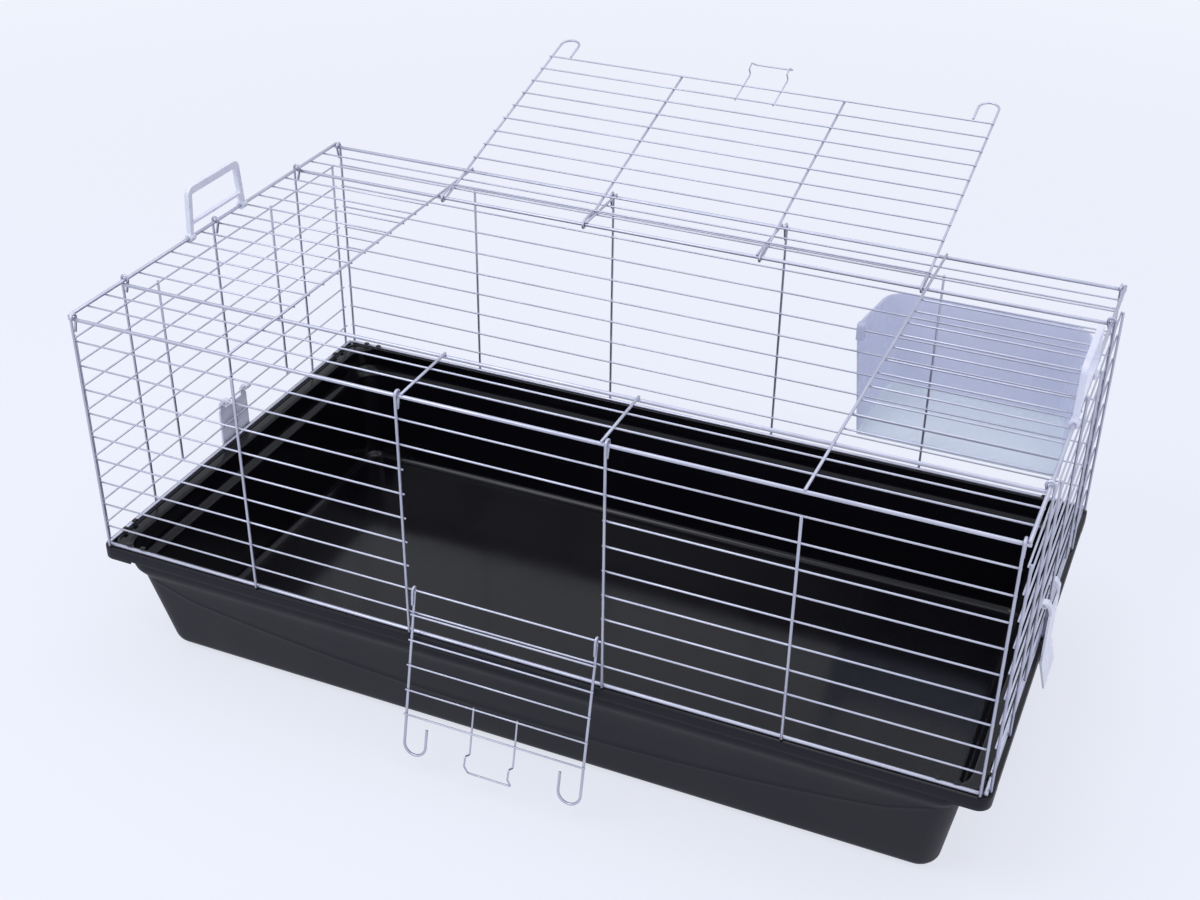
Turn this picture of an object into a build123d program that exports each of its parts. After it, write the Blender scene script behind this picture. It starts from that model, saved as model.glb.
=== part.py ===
from build123d import *
import math
import os

os.makedirs("parts", exist_ok=True)

# Driving sizes of the whole cage, in millimetres
RIM_LENGTH = 1000.0
RIM_WIDTH = 540.0
RAIL_INSET = 6.5
RAIL_HEIGHT = 151.0
WALL_RISE = 281.0

# Wire sizes
THIN_R = 1.0
MAIN_R = 1.5
RAIL_R = 2.0
CATCH_R = 1.0
WIRE_SIDES = 8
WELD = 0.3
RUN_GAP = 0.3
HINGE_FIT = 0.08
CLIP_FIT = 0.4

# Wall grid
BAR_COUNT = 9
BAR_PITCH = 28.9
FIRST_BAR = 25.2
HINGE_BAR = 1
FRONT_CORNER_GAP = 4.5
FRONT_SHORT_GAP = 196.5
FRONT_DOOR_X = 109.2
DOOR_FIRST_STEP = 2
DOOR_LAST_STEP = 6
POST_FOOT = 1.0
END_CORNER_GAP = 7.0
END_HOOK_GAP = 92.3
END_MIDDLE_GAP = 150.0
END_CENTRE_Y = -3.0

# Hooks at the top of the wall uprights
HOOK_WIDTH = 9.0
HOOK_RISE = 5.2
HOOK_LENGTH = 20.0
HOOK_END = 3.9
HOOK_BEND = 3.8

# Roof grid
ROOF_INSET = 0.6
ROOF_STEPS = 18
HINGE_STEP = 3
BORDER_STEP = 15
DIVIDER_GAP = 196.0
STUB_X = 104.0
WIRE_TAIL = 1.5

# Roof door
ROOF_DOOR_TILT = 15.0
ROOF_DOOR_SIDE_GAP = 6.0
ROOF_DOOR_INNER_X = 107.6
ROOF_DOOR_BARS = 11
ROOF_DOOR_FIRST_BAR = 29.5
ROOF_DOOR_LAST_GAP = 32.5
ROOF_DOOR_TIP_PAST = 12.5
ROOF_DOOR_CANE = 38.0
ROOF_DOOR_LOOP = 25.0

# Front door
FRONT_DOOR_TILT = 13.0
FRONT_DOOR_SIDE_GAP = 7.2
FRONT_DOOR_BARS = 5
FRONT_DOOR_FIRST_BAR = 28.5
FRONT_DOOR_TIP_PAST = 17.1
FRONT_DOOR_CANE = 33.5
FRONT_DOOR_LOOP = 17.0

# Shared door shapes
DOOR_BAR_TAIL = 2.5
CANE_WIDTH = 25.0
CANE_FLAT = 0.1
CATCH_X = 25.0
CATCH_DIP = 11.0
CATCH_BACK = 4.0
CATCH_EDGE_GAP = 3.5
CATCH_LIFT = 1.0
CATCH_TIP_LIFT = 1.5
CATCH_TIP_PAST = 4.0
CATCH_BEND = 2.4
LOOP_GAP = 0.6
LOOP_BEND = 0.88

# Handles
HANDLE_SPREAD = 51.5
HANDLE_TOP_SPREAD = 49.0
HANDLE_RISE = 58.0
HANDLE_POST = 6.0
HANDLE_GRIP = 8.5
HANDLE_THICKNESS = 6.0
HANDLE_CORNER = 10.0
HANDLE_BAR_RISE = 16.0
HANDLE_BAR = 3.0
HANDLE_FOOT_R = 4.9
HANDLE_FOOT_LENGTH = 9.0

# Latches
LATCH_WIDTH = 56.0
LATCH_PLATE_GAP = 0.6
LATCH_THICKNESS = 2.5
LATCH_ARM_Y = 22.0
LATCH_ARM_WIDTH = 9.0
LATCH_EYE_R = 3.7
LATCH_PLATE_TOP = 42.0
LATCH_TAIL_DROP = 33.0
LATCH_TAIL_OUT = 7.0
LATCH_TAIL_THICKNESS = 2.0
LATCH_LUG = 3.0

# Hay rack
RACK_END_GAP = 155.8
RACK_POST_GAP = 0.9
RACK_TOP_HALF = 135.0
RACK_REAR_SHRINK = 13.0
RACK_DEPTH = 106.0
RACK_DRAFT = 5.1
RACK_TOP = 173.4
RACK_BOTTOM = 26.6
RACK_FLOOR_RISE = 26.0
RACK_WALL = 2.4
RACK_CORNER_R = 30.0
RACK_CORNER_STEPS = 5
RACK_LIP = 5.0
RACK_HOOK_INSET = 6.5
RACK_HOOK_WIDTH = 9.0
RACK_HOOK_TOP = 178.0
RACK_HOOK_END = 157.6
RACK_HOOK_BAR = 5

# Tray
TRAY_BOTTOM_LENGTH = 906.0
TRAY_BOTTOM_WIDTH = 460.0
TRAY_BOTTOM_R = 22.0
TUB_END_MARGIN = 30.0
TUB_SIDE_MARGIN = 14.5
TRAY_TOP_R = 26.0
TRAY_WALL = 3.0
TRAY_EDGE = 10.0
COLLAR_END_MARGIN = 22.0
COLLAR_SIDE_MARGIN = 8.6
COLLAR_DROP = 36.0
COLLAR_EDGE = 7.0
RIM_R = 14.0
RIM_THICKNESS = 3.0
SKIRT_DROP = 12.0
CORNER_DROP = 15.0
CORNER_LENGTH = 38.0
SKIRT_THICKNESS = 2.5
RIDGE_GAP = 0.7
RIDGE_THICKNESS = 2.4
RIDGE_RISE = 1.6
NUB_INNER = 22.0
NUB_OUTER = 40.0
NUB_WIDTH = 6.0
NUB_THICKNESS = 1.8
SLOT_LENGTH = 25.0
SLOT_HEIGHT = 5.0
SLOT_SPACING = 20.0
SLOT_CENTRE_X = 7.5

# Places that follow from the sizes above
HALF_LENGTH = RIM_LENGTH / 2 - RAIL_INSET
HALF_WIDTH = RIM_WIDTH / 2 - RAIL_INSET
FRONT_POST_X = HALF_LENGTH - FRONT_CORNER_GAP
FRONT_SHORT_X = HALF_LENGTH - FRONT_SHORT_GAP
END_CORNER_Y = HALF_WIDTH - END_CORNER_GAP
END_HOOK_Y = HALF_WIDTH - END_HOOK_GAP
END_MIDDLE_Y = HALF_WIDTH - END_MIDDLE_GAP
DIVIDER_X = HALF_LENGTH - DIVIDER_GAP
POST_OUT = RAIL_R + MAIN_R - WELD
BAR_OUT = POST_OUT - (MAIN_R + THIN_R - WELD)
BAR_HEIGHTS = [RAIL_HEIGHT + FIRST_BAR + i * BAR_PITCH for i in range(BAR_COUNT)]
ROOF_X = HALF_LENGTH - ROOF_INSET
ROOF_Y = HALF_WIDTH - ROOF_INSET
ROOF_PITCH = 2 * ROOF_Y / ROOF_STEPS
CROSS_Z = RAIL_HEIGHT + WALL_RISE
ROOF_TOP_Z = CROSS_Z + RAIL_R
SIDE_RAIL_Z = ROOF_TOP_Z - WELD + RAIL_R
DIVIDER_Z = ROOF_TOP_Z - WELD + MAIN_R
ROOF_THIN_Z = ROOF_TOP_Z - THIN_R
LEDGE_Z = RAIL_HEIGHT - RAIL_R


def roof_y(step):
    return ROOF_Y - step * ROOF_PITCH


# Straight wire from one point to another, with flats facing the frame's axes
def wire(start, end, radius):
    run = Vector(*end) - Vector(*start)
    flat = (1, 0, 0) if abs(run.X) < run.length / 2 else (0, 0, 1)
    with BuildSketch(Plane(origin=start, x_dir=flat, z_dir=run)) as section:
        RegularPolygon(radius, WIRE_SIDES, major_radius=False, rotation=180 / WIRE_SIDES)
    extrude(section.sketch, amount=run.length)


# Straight round rail
def rail(start, end, radius):
    run = Vector(*end) - Vector(*start)
    with BuildSketch(Plane(origin=start, z_dir=run)) as section:
        Circle(radius)
    extrude(section.sketch, amount=run.length)


# Bent wire: straight runs joined by tangent arcs
def bent_wire(points, bends, radius, flat):
    with BuildLine() as path:
        FilletPolyline(*points, radius=bends)
    with BuildSketch(Plane(origin=path.line @ 0, x_dir=flat, z_dir=path.line % 0)) as section:
        RegularPolygon(radius, WIRE_SIDES, major_radius=False, rotation=180 / WIRE_SIDES)
    sweep(section.sketch, path=path.line)


# Upright with a narrow hook over a roof rail; frame has x inward and y up
def hooked_post(frame, foot, crest):
    points = [
        (0, foot),
        (0, crest),
        (HOOK_WIDTH, crest),
        (HOOK_END, crest - HOOK_LENGTH),
    ]
    placed = [frame.from_local_coords(Vector(a, b, 0)) for a, b in points]
    bent_wire(placed, HOOK_BEND, MAIN_R, frame.z_dir)


# Wall upright seen from the front or the back; side is -1 for the front wall
def long_wall_frame(x, side):
    return Plane(origin=(x, side * (HALF_WIDTH + POST_OUT), 0), x_dir=(0, -side, 0), z_dir=(-side, 0, 0))


def end_wall_frame(y, side):
    return Plane(origin=(side * (HALF_LENGTH + POST_OUT), y, 0), x_dir=(-side, 0, 0), z_dir=(0, side, 0))


POST_FOOT_Z = RAIL_HEIGHT - POST_FOOT
SHORT_TOP_Z = BAR_HEIGHTS[-1] + WIRE_TAIL
LONG_CREST_Z = CROSS_Z + HOOK_RISE
END_CREST_Z = SIDE_RAIL_Z + HOOK_RISE


def long_wall_posts(side):
    for x in (-FRONT_POST_X, -FRONT_DOOR_X, FRONT_DOOR_X, FRONT_POST_X):
        hooked_post(long_wall_frame(x, side), POST_FOOT_Z, LONG_CREST_Z)
    for x in (-FRONT_SHORT_X, FRONT_SHORT_X):
        y = side * (HALF_WIDTH + POST_OUT)
        wire((x, y, POST_FOOT_Z), (x, y, SHORT_TOP_Z), MAIN_R)


def end_wall_posts(side):
    x = side * (HALF_LENGTH + POST_OUT)
    for y in (-END_HOOK_Y, END_CENTRE_Y, END_HOOK_Y):
        hooked_post(end_wall_frame(y, side), POST_FOOT_Z, END_CREST_Z)
    for y in (-END_CORNER_Y, END_CORNER_Y):
        wire((x, y, POST_FOOT_Z), (x, y, SHORT_TOP_Z), MAIN_R)
    for y in (-END_MIDDLE_Y, END_MIDDLE_Y):
        wire((x, y, BAR_HEIGHTS[0] - WIRE_TAIL), (x, y, SHORT_TOP_Z), MAIN_R)


LONG_BAR_END = FRONT_POST_X + WIRE_TAIL
END_BAR_END = END_CORNER_Y + MAIN_R + WIRE_TAIL
CUT_BAR_END = FRONT_DOOR_X - MAIN_R - WIRE_TAIL


def long_bar(side, height, start, end):
    y = side * (HALF_WIDTH + BAR_OUT)
    if side < 0 and height == BAR_HEIGHTS[HINGE_BAR]:
        rail((start, y, height), (end, y, height), THIN_R)
    else:
        wire((start, y, height), (end, y, height), THIN_R)


# Front wall panel
with BuildPart() as front_uprights:
    long_wall_posts(-1)

with BuildPart() as front_bars:
    for i, height in enumerate(BAR_HEIGHTS):
        if DOOR_FIRST_STEP <= i <= DOOR_LAST_STEP:
            long_bar(-1, height, -LONG_BAR_END, -CUT_BAR_END)
            long_bar(-1, height, CUT_BAR_END, LONG_BAR_END)
        else:
            long_bar(-1, height, -LONG_BAR_END, LONG_BAR_END)

with BuildPart() as front_bottom_rail:
    rail((-LONG_BAR_END, -HALF_WIDTH, RAIL_HEIGHT), (LONG_BAR_END, -HALF_WIDTH, RAIL_HEIGHT), RAIL_R)

# Back wall panel
with BuildPart() as back_uprights:
    long_wall_posts(1)

with BuildPart() as back_bars:
    for height in BAR_HEIGHTS:
        long_bar(1, height, -LONG_BAR_END, LONG_BAR_END)

with BuildPart() as back_bottom_rail:
    rail((-LONG_BAR_END, HALF_WIDTH, RAIL_HEIGHT), (LONG_BAR_END, HALF_WIDTH, RAIL_HEIGHT), RAIL_R)


# End wall panels
def end_bars(side):
    x = side * (HALF_LENGTH + BAR_OUT)
    for height in BAR_HEIGHTS:
        if height == BAR_HEIGHTS[HINGE_BAR]:
            rail((x, -END_BAR_END, height), (x, END_BAR_END, height), THIN_R)
        else:
            wire((x, -END_BAR_END, height), (x, END_BAR_END, height), THIN_R)


def end_rail(side):
    x = side * HALF_LENGTH
    rail((x, -HALF_WIDTH, RAIL_HEIGHT), (x, HALF_WIDTH, RAIL_HEIGHT), RAIL_R)


with BuildPart() as left_uprights:
    end_wall_posts(-1)

with BuildPart() as left_bars:
    end_bars(-1)

with BuildPart() as left_bottom_rail:
    end_rail(-1)

with BuildPart() as right_uprights:
    end_wall_posts(1)

with BuildPart() as right_bars:
    end_bars(1)

with BuildPart() as right_bottom_rail:
    end_rail(1)

# Roof panel
SIDE_RAIL_END = ROOF_Y + RAIL_R
CROSS_RAIL_END = ROOF_X + RAIL_R

with BuildPart() as roof_side_rails:
    for x in (-ROOF_X, ROOF_X):
        rail((x, -SIDE_RAIL_END, SIDE_RAIL_Z), (x, SIDE_RAIL_END, SIDE_RAIL_Z), RAIL_R)

with BuildPart() as roof_cross_rails:
    for y in (-ROOF_Y, ROOF_Y):
        rail((-CROSS_RAIL_END, y, CROSS_Z), (CROSS_RAIL_END, y, CROSS_Z), RAIL_R)

with BuildPart() as roof_dividers:
    for x in (-DIVIDER_X, DIVIDER_X):
        wire((x, -SIDE_RAIL_END, DIVIDER_Z), (x, SIDE_RAIL_END, DIVIDER_Z), MAIN_R)

with BuildPart() as roof_stubs:
    for x in (-STUB_X, STUB_X):
        wire((x, roof_y(HINGE_STEP) - RAIL_R, DIVIDER_Z), (x, SIDE_RAIL_END, DIVIDER_Z), MAIN_R)
    for x in (-STUB_X, STUB_X):
        wire((x, -SIDE_RAIL_END, DIVIDER_Z), (x, roof_y(BORDER_STEP) + RAIL_R, DIVIDER_Z), MAIN_R)

with BuildPart() as roof_cross_wires:
    for step in (1, 2, 16, 17):
        y = roof_y(step)
        wire((-CROSS_RAIL_END, y, ROOF_THIN_Z), (CROSS_RAIL_END, y, ROOF_THIN_Z), THIN_R)

with BuildPart() as roof_side_wires:
    for step in range(HINGE_STEP + 1, BORDER_STEP):
        y = roof_y(step)
        inner = DIVIDER_X - MAIN_R
        wire((-CROSS_RAIL_END, y, ROOF_THIN_Z), (-inner, y, ROOF_THIN_Z), THIN_R)
        wire((inner, y, ROOF_THIN_Z), (CROSS_RAIL_END, y, ROOF_THIN_Z), THIN_R)

with BuildPart() as roof_hinge_wire:
    y = roof_y(HINGE_STEP)
    rail((-CROSS_RAIL_END, y, CROSS_Z), (CROSS_RAIL_END, y, CROSS_Z), RAIL_R)

with BuildPart() as roof_border_wire:
    y = roof_y(BORDER_STEP)
    rail((-CROSS_RAIL_END, y, CROSS_Z), (CROSS_RAIL_END, y, CROSS_Z), RAIL_R)


# Door frames: x across, y from the hinge to the free edge, z toward the bars' side
ROOF_TILT = math.radians(ROOF_DOOR_TILT)
ROOF_DOOR_FRAME = Plane(
    origin=(0, roof_y(HINGE_STEP), CROSS_Z),
    x_dir=(1, 0, 0),
    z_dir=(0, -math.sin(ROOF_TILT), math.cos(ROOF_TILT)),
)
FRONT_TILT = math.radians(FRONT_DOOR_TILT)
FRONT_DOOR_FRAME = Plane(
    origin=(0, -(HALF_WIDTH + BAR_OUT), BAR_HEIGHTS[HINGE_BAR]),
    x_dir=(-1, 0, 0),
    z_dir=(0, -math.cos(FRONT_TILT), math.sin(FRONT_TILT)),
)
ROOF_DOOR_OFF = RAIL_R + MAIN_R + RUN_GAP
FRONT_DOOR_OFF = THIN_R + MAIN_R + RUN_GAP
BAR_ABOVE_MAIN = MAIN_R + THIN_R - WELD
CATCH_BELOW_BAR = THIN_R + CATCH_R - WELD


def placed(frame, points):
    return [frame.from_local_coords(Vector(*point)) for point in points]


# Side wire of a door: loop round the hinge, straight run and a cane turned inward
def door_side_wire(frame, x, off, loop, tip, cane_end):
    inward = -math.copysign(CANE_WIDTH, x)
    bow = off + RUN_GAP
    loop_bend = off * LOOP_BEND
    cane_bend = CANE_WIDTH / 2 - CANE_FLAT
    points = [
        (x, loop, LOOP_GAP - off + 2 * MAIN_R),
        (x, bow, off),
        (x, -bow, off),
        (x, -bow, -off),
        (x, tip, -off),
        (x + inward, tip, -off),
        (x + inward, cane_end, -off),
    ]
    bends = (loop_bend, loop_bend, loop_bend, cane_bend, cane_bend)
    bent_wire(placed(frame, points), bends, MAIN_R, frame.x_dir)


# Inner wire of a door: loop round the hinge and a straight run
def door_inner_wire(frame, x, off, loop, end):
    bow = off + RUN_GAP
    loop_bend = off * LOOP_BEND
    points = [
        (x, loop, LOOP_GAP - off + 2 * MAIN_R),
        (x, bow, off),
        (x, -bow, off),
        (x, -bow, -off),
        (x, end, -off),
    ]
    bent_wire(placed(frame, points), loop_bend, MAIN_R, frame.x_dir)


def door_bars(frame, off, half_width, count, first, pitch):
    for i in range(count):
        ends = [(-half_width, first + i * pitch, BAR_ABOVE_MAIN - off)]
        ends.append((half_width, first + i * pitch, BAR_ABOVE_MAIN - off))
        start, end = placed(frame, ends)
        wire(start, end, THIN_R)


# Spring catch: two legs that dip under the shut edge, joined by a finger wire
def door_catch(frame, off, start, edge, tip):
    low = BAR_ABOVE_MAIN - CATCH_BELOW_BAR - off
    profile = [
        (start, low),
        (edge - CATCH_EDGE_GAP, low),
        (edge - CATCH_EDGE_GAP - CATCH_BACK, low + CATCH_DIP),
        (edge + CATCH_BACK, low + CATCH_DIP + CATCH_LIFT),
        (tip, low + CATCH_TIP_LIFT),
    ]
    left = [(-CATCH_X, v, n) for v, n in profile]
    right = [(CATCH_X, v, n) for v, n in reversed(profile)]
    bent_wire(placed(frame, left + right), CATCH_BEND, CATCH_R, frame.x_dir)


ROOF_SHUT_EDGE = roof_y(HINGE_STEP) - roof_y(BORDER_STEP)
ROOF_DOOR_LAST_BAR = ROOF_SHUT_EDGE - ROOF_DOOR_LAST_GAP
ROOF_DOOR_PITCH = (ROOF_DOOR_LAST_BAR - ROOF_DOOR_FIRST_BAR) / (ROOF_DOOR_BARS - 1)
ROOF_DOOR_TIP = ROOF_SHUT_EDGE + ROOF_DOOR_TIP_PAST
ROOF_DOOR_CANE_END = ROOF_DOOR_TIP - ROOF_DOOR_CANE
ROOF_DOOR_SIDE_X = DIVIDER_X - ROOF_DOOR_SIDE_GAP
FRONT_SHUT_EDGE = BAR_HEIGHTS[DOOR_LAST_STEP + 1] - BAR_HEIGHTS[HINGE_BAR]
FRONT_DOOR_LAST_BAR = FRONT_DOOR_FIRST_BAR + (FRONT_DOOR_BARS - 1) * BAR_PITCH
FRONT_DOOR_TIP = FRONT_SHUT_EDGE + FRONT_DOOR_TIP_PAST
FRONT_DOOR_CANE_END = FRONT_DOOR_TIP - FRONT_DOOR_CANE
FRONT_DOOR_SIDE_X = FRONT_DOOR_X - FRONT_DOOR_SIDE_GAP

# Roof door
with BuildPart() as roof_door_side_wires:
    for x in (-ROOF_DOOR_SIDE_X, ROOF_DOOR_SIDE_X):
        door_side_wire(
            ROOF_DOOR_FRAME, x, ROOF_DOOR_OFF, ROOF_DOOR_LOOP, ROOF_DOOR_TIP, ROOF_DOOR_CANE_END
        )

with BuildPart() as roof_door_inner_wires:
    for x in (-ROOF_DOOR_INNER_X, ROOF_DOOR_INNER_X):
        end = ROOF_DOOR_LAST_BAR + WIRE_TAIL
        door_inner_wire(ROOF_DOOR_FRAME, x, ROOF_DOOR_OFF, ROOF_DOOR_LOOP, end)

with BuildPart() as roof_door_bars:
    half = ROOF_DOOR_SIDE_X + DOOR_BAR_TAIL
    door_bars(
        ROOF_DOOR_FRAME, ROOF_DOOR_OFF, half, ROOF_DOOR_BARS, ROOF_DOOR_FIRST_BAR, ROOF_DOOR_PITCH
    )

with BuildPart() as roof_door_catch:
    start = ROOF_DOOR_LAST_BAR - ROOF_DOOR_PITCH - WIRE_TAIL
    door_catch(ROOF_DOOR_FRAME, ROOF_DOOR_OFF, start, ROOF_SHUT_EDGE, ROOF_DOOR_TIP + CATCH_TIP_PAST)

# Front door
with BuildPart() as front_door_side_wires:
    for x in (-FRONT_DOOR_SIDE_X, FRONT_DOOR_SIDE_X):
        door_side_wire(
            FRONT_DOOR_FRAME, x, FRONT_DOOR_OFF, FRONT_DOOR_LOOP, FRONT_DOOR_TIP, FRONT_DOOR_CANE_END
        )

with BuildPart() as front_door_bars:
    half = FRONT_DOOR_SIDE_X + DOOR_BAR_TAIL
    door_bars(
        FRONT_DOOR_FRAME, FRONT_DOOR_OFF, half, FRONT_DOOR_BARS, FRONT_DOOR_FIRST_BAR, BAR_PITCH
    )

with BuildPart() as front_door_catch:
    start = FRONT_DOOR_LAST_BAR - BAR_PITCH - WIRE_TAIL
    door_catch(FRONT_DOOR_FRAME, FRONT_DOOR_OFF, start, FRONT_SHUT_EDGE, FRONT_DOOR_TIP)


# Carrying handle: an upright frame with two round feet clipped on a side rail
def handle(side):
    frame = Plane(origin=(side * ROOF_X, 0, SIDE_RAIL_Z), x_dir=(0, 1, 0), z_dir=(1, 0, 0))
    with BuildSketch(frame) as outline:
        with BuildLine():
            Polyline(
                (-HANDLE_SPREAD - HANDLE_POST / 2, 0),
                (-HANDLE_TOP_SPREAD, HANDLE_RISE),
                (HANDLE_TOP_SPREAD, HANDLE_RISE),
                (HANDLE_SPREAD + HANDLE_POST / 2, 0),
                close=True,
            )
        make_face()
        fillet(outline.vertices().group_by(Axis.Y)[-1], HANDLE_CORNER)
        with BuildSketch(mode=Mode.SUBTRACT) as window:
            with BuildLine():
                Polyline(
                    (-HANDLE_SPREAD + HANDLE_POST / 2, 0),
                    (-HANDLE_TOP_SPREAD + HANDLE_POST, HANDLE_RISE - HANDLE_GRIP),
                    (HANDLE_TOP_SPREAD - HANDLE_POST, HANDLE_RISE - HANDLE_GRIP),
                    (HANDLE_SPREAD - HANDLE_POST / 2, 0),
                    close=True,
                )
            make_face()
        with Locations((0, HANDLE_BAR_RISE)):
            Rectangle(2 * HANDLE_SPREAD - HANDLE_POST / 2, HANDLE_BAR)
    extrude(outline.sketch, amount=HANDLE_THICKNESS / 2, both=True)
    foot_plane = Plane(origin=(side * ROOF_X, 0, SIDE_RAIL_Z), z_dir=(0, 1, 0))
    for y in (-HANDLE_SPREAD, HANDLE_SPREAD):
        with BuildSketch(foot_plane.offset(y - HANDLE_FOOT_LENGTH / 2)) as barrel:
            Circle(HANDLE_FOOT_R)
        extrude(barrel.sketch, amount=HANDLE_FOOT_LENGTH)
    with BuildSketch(foot_plane) as bore:
        Circle(RAIL_R + HINGE_FIT)
    extrude(bore.sketch, amount=HANDLE_SPREAD + HANDLE_POST * 2, both=True, mode=Mode.SUBTRACT)


with BuildPart() as left_handle:
    handle(-1)

with BuildPart() as right_handle:
    handle(1)


# End latch: a plate hung on a wall bar by two eyes, with a lug under the rim and a tail
def latch(side):
    face = RIM_LENGTH / 2 + LATCH_PLATE_GAP
    back = face + LATCH_THICKNESS
    eye_x = HALF_LENGTH + BAR_OUT
    eye_z = BAR_HEIGHTS[HINGE_BAR]
    top = RAIL_HEIGHT + LATCH_PLATE_TOP
    skirt_end = LEDGE_Z - SKIRT_DROP
    lug_top = skirt_end - CLIP_FIT
    low = lug_top - LATCH_LUG
    tail_end = low - LATCH_TAIL_DROP + LATCH_LUG
    frame = Plane(origin=(0, 0, 0), x_dir=(side, 0, 0), z_dir=(0, -side, 0))
    with BuildSketch(frame) as plate:
        with BuildLine():
            Polyline(
                (face, top),
                (back, top),
                (back, low),
                (back + LATCH_TAIL_OUT, tail_end),
                (back + LATCH_TAIL_OUT - LATCH_TAIL_THICKNESS, tail_end),
                (back - LATCH_THICKNESS, low),
                (face - LATCH_LUG, low),
                (face - LATCH_LUG, lug_top),
                (face, lug_top),
                close=True,
            )
        make_face()
    extrude(plate.sketch, amount=LATCH_WIDTH / 2, both=True)
    for y in (-LATCH_ARM_Y, LATCH_ARM_Y):
        arm_frame = Plane(origin=(0, y, 0), x_dir=(side, 0, 0), z_dir=(0, -side, 0))
        with BuildSketch(arm_frame) as arm:
            with BuildLine():
                Polyline(
                    (face, top - LATCH_THICKNESS),
                    (back, top - LATCH_THICKNESS),
                    (back, eye_z - LATCH_EYE_R),
                    (eye_x + LATCH_EYE_R, eye_z + LATCH_EYE_R),
                    (eye_x, eye_z + LATCH_EYE_R),
                    (eye_x, eye_z),
                    (eye_x + LATCH_EYE_R, eye_z - THIN_R),
                    (face, eye_z - LATCH_EYE_R * 2),
                    close=True,
                )
            make_face()
            with Locations((eye_x, eye_z)):
                Circle(LATCH_EYE_R)
        extrude(arm.sketch, amount=LATCH_ARM_WIDTH / 2, both=True)
    with BuildSketch(frame) as eye:
        with Locations((eye_x, eye_z)):
            Circle(THIN_R + CLIP_FIT)
    extrude(eye.sketch, amount=LATCH_WIDTH, both=True, mode=Mode.SUBTRACT)


with BuildPart() as left_latch:
    latch(-1)

with BuildPart() as right_latch:
    latch(1)

# Hay rack: an open bin with a sloping floor, hung on a wall bar by two hooks
RACK_FRONT_Y = HALF_WIDTH + POST_OUT + MAIN_R + RACK_POST_GAP


def rack_block(top, inset, reach):
    near = RACK_TOP_HALF - inset
    far = near - RACK_REAR_SHRINK
    rear = RACK_FRONT_Y + RACK_DEPTH - inset
    radius = RACK_CORNER_R - inset
    turn = math.pi / 2 - math.atan2(RACK_REAR_SHRINK + reach, 2 * RACK_DEPTH - inset)
    back = radius * math.tan(turn / 2)
    corner = []
    for i in range(RACK_CORNER_STEPS + 1):
        angle = math.pi / 2 - turn * i / RACK_CORNER_STEPS
        corner.append((far - back + radius * math.cos(angle), rear - radius + radius * math.sin(angle)))
    front = RACK_FRONT_Y - RACK_DEPTH
    right = [(RACK_CENTRE_X + x, y) for x, y in corner]
    left = [(RACK_CENTRE_X - x, y) for x, y in reversed(corner)]
    ends = [(RACK_CENTRE_X + near + reach, front), (RACK_CENTRE_X - near - reach, front)]
    with BuildSketch(Plane.XY.offset(top)) as section:
        with BuildLine():
            Polyline(*right, *ends, *left, close=True)
        make_face()
    extrude(section.sketch, amount=-(top - RACK_LOW_Z), taper=RACK_DRAFT)


def rack_front_cut(limit):
    with BuildSketch(Plane.XY.offset(RACK_LOW_Z - RACK_DEPTH)) as front:
        with Locations((RACK_CENTRE_X, limit)):
            Rectangle(RACK_DEPTH * 4, RACK_DEPTH * 3, align=(Align.CENTER, Align.MAX))
    extrude(front.sketch, amount=RACK_HIGH_Z, mode=Mode.SUBTRACT)


def rack_floor_cut(drop):
    with BuildSketch(Plane.YZ) as wedge:
        with BuildLine():
            Polyline(
                (RACK_FRONT_Y - RACK_DEPTH, RAIL_HEIGHT + RACK_BOTTOM - RACK_DEPTH),
                (RACK_FRONT_Y - RACK_DEPTH, RAIL_HEIGHT + RACK_BOTTOM + drop),
                (RACK_FRONT_Y + RACK_WALL, RAIL_HEIGHT + RACK_BOTTOM + drop),
                (RACK_FRONT_Y + RACK_DEPTH, RAIL_HEIGHT + RACK_BOTTOM + RACK_FLOOR_RISE + drop),
                (RACK_FRONT_Y + RACK_DEPTH, RAIL_HEIGHT + RACK_BOTTOM - RACK_DEPTH),
                close=True,
            )
        make_face()
    extrude(wedge.sketch, amount=RIM_LENGTH, mode=Mode.SUBTRACT)


RACK_LOW_Z = RAIL_HEIGHT + RACK_BOTTOM
RACK_CENTRE_X = HALF_LENGTH - RACK_END_GAP
RACK_HIGH_Z = RAIL_HEIGHT + RACK_TOP
RACK_FLARE = RACK_REAR_SHRINK * RACK_DEPTH / (RACK_DEPTH - RACK_WALL)

with BuildPart() as rack_space:
    rack_block(RACK_HIGH_Z, RACK_WALL, RACK_FLARE)
    rack_floor_cut(RACK_WALL)

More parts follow.
